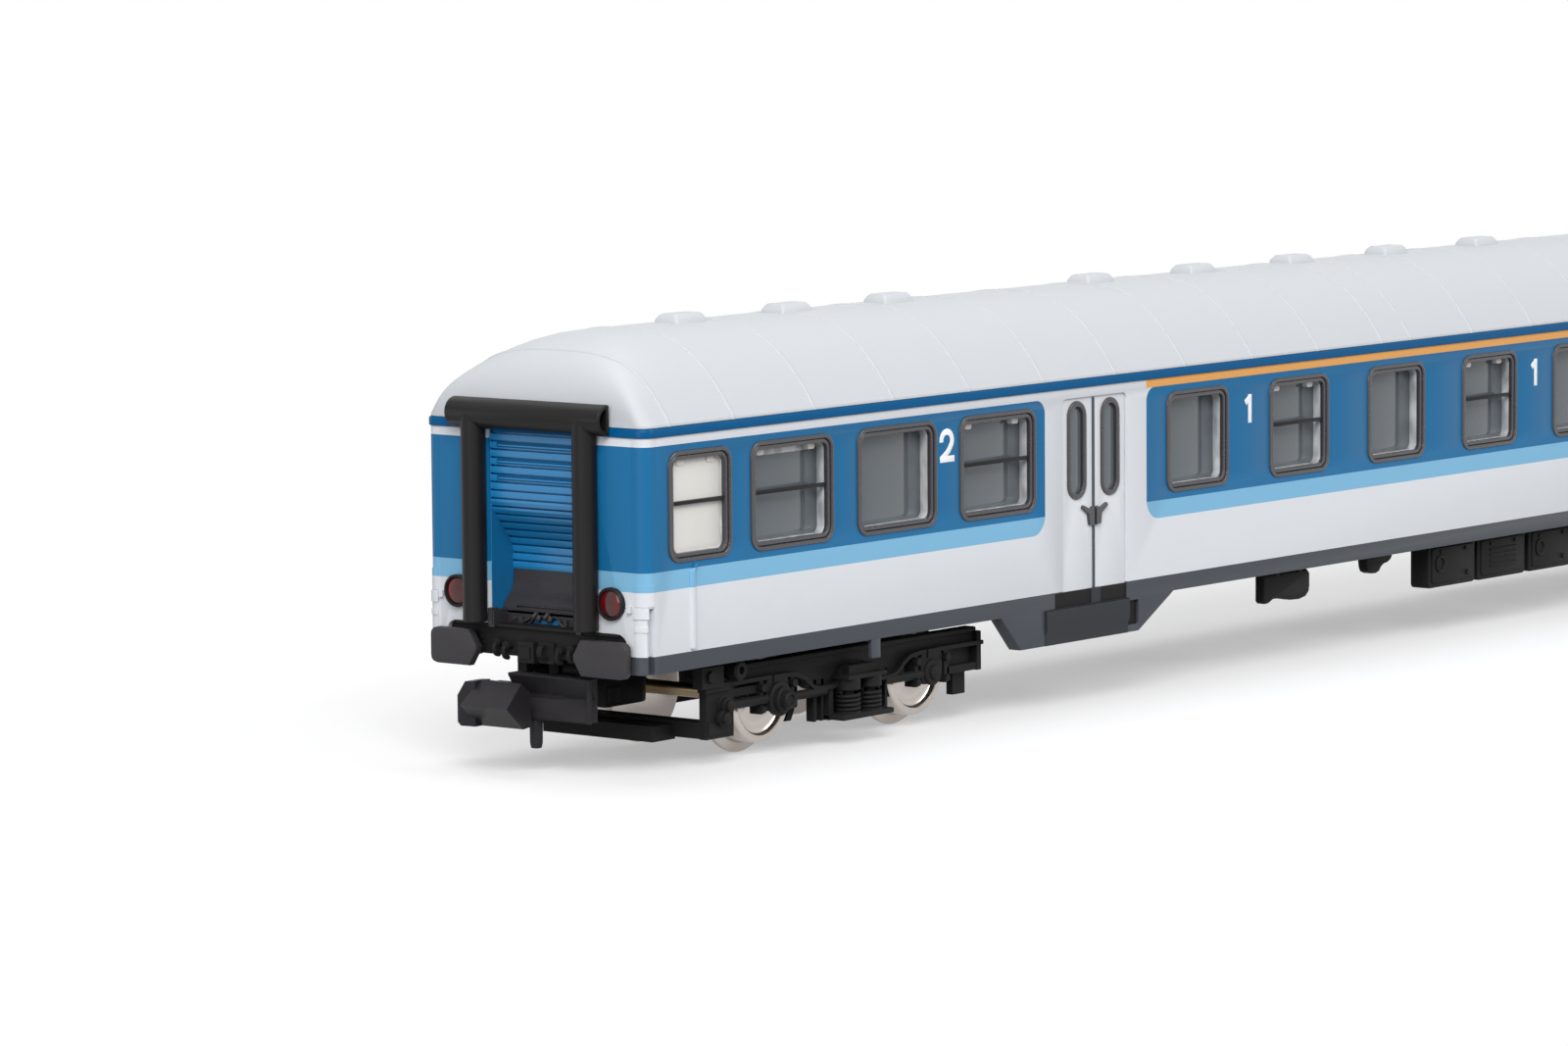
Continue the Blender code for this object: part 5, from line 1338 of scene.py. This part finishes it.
def coupler_heads():
    """Catch plate, hook nose with its cheek, lifting eye and trip pin."""
    head = Shape()
    front, rear = -81.4, -80.5
    low, high, middle = 2.66, 5.36, 3.98
    catch = [
        (front, low), (rear, low), (rear, high), (front, high), (front, 5.24), (front + 0.75, middle + 0.04),
        (front + 0.75, middle - 0.04), (front, 2.78),
    ]
    head.prism(catch, "Y", -3.95, 2.5)
    head.block((front - 0.06, front + 0.14), (-4.14, -3.9), (low, high))
    tip, foot, root = -84.5, -82.8, -82.0
    head.hull([
        (tip, -0.09, 3.58), (tip, 3.69, 3.6), (foot, 3.6, 4.95), (foot, 0.2, 4.97), (foot, 0.05, 2.17),
        (foot, 3.9, 2.15), (root, 0.2, 4.4), (root, 0.05, 2.26), (root, 3.6, 4.9), (root, 3.9, 2.2),
    ])
    cheek = [(4.85, 2.35), (4.85, 4.0), (4.22, 4.9), (3.4, 4.96), (3.4, 2.15), (4.6, 2.12)]
    head.prism(cheek, "X", -83.45, root)
    head.block((-82.4, rear - 0.1), (1.9, 3.85), (2.45, 4.7))
    eye = (LIFT_X, LIFT_Z)
    head.plate([circle(eye, 0.75, 28), circle(eye, 0.38, 16)], "Y", -0.62, 0.62, 0.06)
    head.block((rear - 0.2, LIFT_X - 0.45), (-0.52, 0.52), (4.65, 5.2))
    head.block((rear - 0.2, -79.0), (-1.35, 1.35), (3.2, 5.1))
    head.lathe([(0.42, 2.9), (0.4, 1.1), (0.33, 0.8), (0.1, 0.75)], "Z", (-80.95, 0.64), 20)
    # Painted light: the coupler in a lighter copy of the black plastic.
    head.build("hook_coupler_{}", "coupler_plastic", ENDS, "coupler_head_{}", 0.03, 18, "coupler_{}")


# Underfloor


def equipment_cases():
    row = Shape().block((6.0, 25.1), (-7.3, -4.2), (5.5, 7.0))
    dial = [(0.62, -7.55), (0.62, -7.74), (0.5, -7.78), (0.42, -7.72), (0.38, -7.66), (0.38, -7.55)]
    for low, high, vented in ((6.2, 12.3, False), (12.65, 19.0, True), (19.5, 25.2, False)):
        middle = (low + high) / 2
        row.pad("Y", (-7.5, -5.95), (middle, 4.35), high - low, 3.1, 0.3, 0.1, 4)
        row.pad("Y", (-7.62, -7.3), (middle, 4.4), high - low - 0.7, 2.5, 0.2, 0.06, 4)
        if vented:
            for i in range(4):
                row.pad("Y", (-7.72, -7.5), (middle, 3.75 + 0.38 * i), 3.6, 0.2, 0.08, 0.04)
        else:
            row.lathe(dial, "Y", (low + 1.3, 4.5), 24, True)
            row.rod("Y", (high - 1.2, 3.6), 0.2, -7.74, -7.5, 10)
        for x in (middle - 1.6, middle + 1.6):
            row.rod("Y", (x, 5.35), 0.15, -7.72, -7.5, 10)
    hanger = [
        (-1.4, 6.6), (-1.35, 5.1), (-1.0, 4.55), (0.2, 4.5), (0.65, 5.05), (1.6, 5.2), (2.0, 5.6), (2.1, 6.6),
    ]
    row.plate([smoothed(hanger, 1)], "Y", -7.25, -6.5, 0.06)
    row.build("equipment_case_{}", "black_plastic", ENDS, "equipment_row_{}", 0.05)


def water_tanks():
    shell = [
        (-13.9, 5.6), (-13.9, 3.8), (-13.72, 3.62), (-13.3, 3.64), (-12.7, 3.88), (-12.0, 3.86),
        (-10.6, 3.62), (-9.5, 3.58), (-8.8, 3.7), (-8.4, 4.0), (-8.3, 4.4), (-8.3, 5.3), (-8.6, 5.6),
    ]
    tank = Shape().plate([shell], "Y", -7.2, -6.4, 0.12)
    for x in (-12.4, -9.6):
        tank.pad("Y", (-7.0, -6.5), (x, 6.1), 1.5, 1.7, 0.15, 0.06)
        tank.rod("Y", (x, 5.75), 0.3, -7.3, -6.6, 12)
    tank.build("water_tank_shell_{}", "black_plastic", ENDS, "water_tank_{}", 0.05)


def bare_solids():
    """Finishes of the solids that are shown as they are, by the slot that each has in the record."""
    slots = {part["node"]: part["material_slot"] for part in frame["record"]["subparts"]}
    for name in ("bogie_screw", "coupling_screw", "centring_spring", "coupler_pin"):
        for word, _ in ENDS:
            dress(f"{name}_{word}", slots[f"{name}_{word}"])
    for name in ("underframe", "ballast_plate"):
        dress(name, slots[name])


# Operators and panel


class COACH_OT_stage(bpy.types.Operator):
    """Camera, studio lights, pale floor and white surroundings"""

    bl_idname = "coach.stage"
    bl_label = "Stage"
    bl_options = {"REGISTER", "UNDO"}

    def execute(self, context):
        camera()
        floor()
        surroundings()
        lamps()
        return {"FINISHED"}


class COACH_OT_sides(bpy.types.Operator):
    """Side walls, doors, end walls, corner posts, gutter and step boxes"""

    bl_idname = "coach.sides"
    bl_label = "Sides and ends"
    bl_options = {"REGISTER", "UNDO"}

    def execute(self, context):
        side_walls()
        step_boxes()
        doors()
        end_walls()
        corner_steps()
        gangway_jambs()
        corner_posts()
        gutter()
        numerals()
        return {"FINISHED"}


class COACH_OT_windows(bpy.types.Operator):
    """Window rubbers, panes and half-drop bars"""

    bl_idname = "coach.windows"
    bl_label = "Windows"
    bl_options = {"REGISTER", "UNDO"}

    def execute(self, context):
        side_windows()
        return {"FINISHED"}


class COACH_OT_roof(bpy.types.Operator):
    """Domed roof with its seams and vents"""

    bl_idname = "coach.roof"
    bl_label = "Roof"
    bl_options = {"REGISTER", "UNDO"}

    def execute(self, context):
        roof()
        return {"FINISHED"}


class COACH_OT_gangway(bpy.types.Operator):
    """Rubber tubes, roller shutter and bridge plate at the ends"""

    bl_idname = "coach.gangway"
    bl_label = "Gangway"
    bl_options = {"REGISTER", "UNDO"}

    def execute(self, context):
        gangway_tubes()
        shutter()
        bridge()
        return {"FINISHED"}


class COACH_OT_headstock(bpy.types.Operator):
    """Buffer beams, buffers, draw hooks, hoses and tail lamps"""

    bl_idname = "coach.headstock"
    bl_label = "Headstocks"
    bl_options = {"REGISTER", "UNDO"}

    def execute(self, context):
        buffer_beam()
        buffers_and_lamps()
        return {"FINISHED"}


class COACH_OT_bogies(bpy.types.Operator):
    """Bogie frames, springs, brake gear and wheelsets"""

    bl_idname = "coach.bogies"
    bl_label = "Bogies"
    bl_options = {"REGISTER", "UNDO"}

    def execute(self, context):
        bogie_frames()
        bogie_springs()
        wheelsets()
        return {"FINISHED"}


class COACH_OT_couplers(bpy.types.Operator):
    """Drawbars and hook couplers"""

    bl_idname = "coach.couplers"
    bl_label = "Couplers"
    bl_options = {"REGISTER", "UNDO"}

    def execute(self, context):
        drawbars()
        coupler_heads()
        return {"FINISHED"}


class COACH_OT_underfloor(bpy.types.Operator):
    """Underfloor cases, tanks and the finishes of the inner pieces"""

    bl_idname = "coach.underfloor"
    bl_label = "Underfloor"
    bl_options = {"REGISTER", "UNDO"}

    def execute(self, context):
        equipment_cases()
        water_tanks()
        bare_solids()
        return {"FINISHED"}


class COACH_PT_pieces(bpy.types.Panel):
    """Lists the coach's pieces with their colours and sizes"""

    bl_idname = "COACH_PT_pieces"
    bl_label = "Coach"
    bl_space_type = "VIEW_3D"
    bl_region_type = "UI"
    bl_category = "Coach"

    def draw(self, context):
        for operator in OPERATORS:
            self.layout.operator(operator.bl_idname)
        for group in (context.scene.coach_colours, context.scene.coach_sizes):
            for name in group.__annotations__:
                self.layout.prop(group, name)


OPERATORS = (
    COACH_OT_stage, COACH_OT_sides, COACH_OT_windows, COACH_OT_roof, COACH_OT_gangway, COACH_OT_headstock,
    COACH_OT_bogies, COACH_OT_couplers, COACH_OT_underfloor,
)
CLASSES = (CoachColours, CoachSizes, *OPERATORS, COACH_PT_pieces)


def register():
    for item in CLASSES:
        bpy.utils.register_class(item)
    bpy.types.Scene.coach_colours = PointerProperty(type=CoachColours)
    bpy.types.Scene.coach_sizes = PointerProperty(type=CoachSizes)


def unregister():
    del bpy.types.Scene.coach_sizes
    del bpy.types.Scene.coach_colours
    for item in reversed(CLASSES):
        bpy.utils.unregister_class(item)


def main():
    register()
    for operator in OPERATORS:
        group, name = operator.bl_idname.split(".")
        getattr(getattr(bpy.ops, group), name)()


if __name__ == "__main__":
    main()
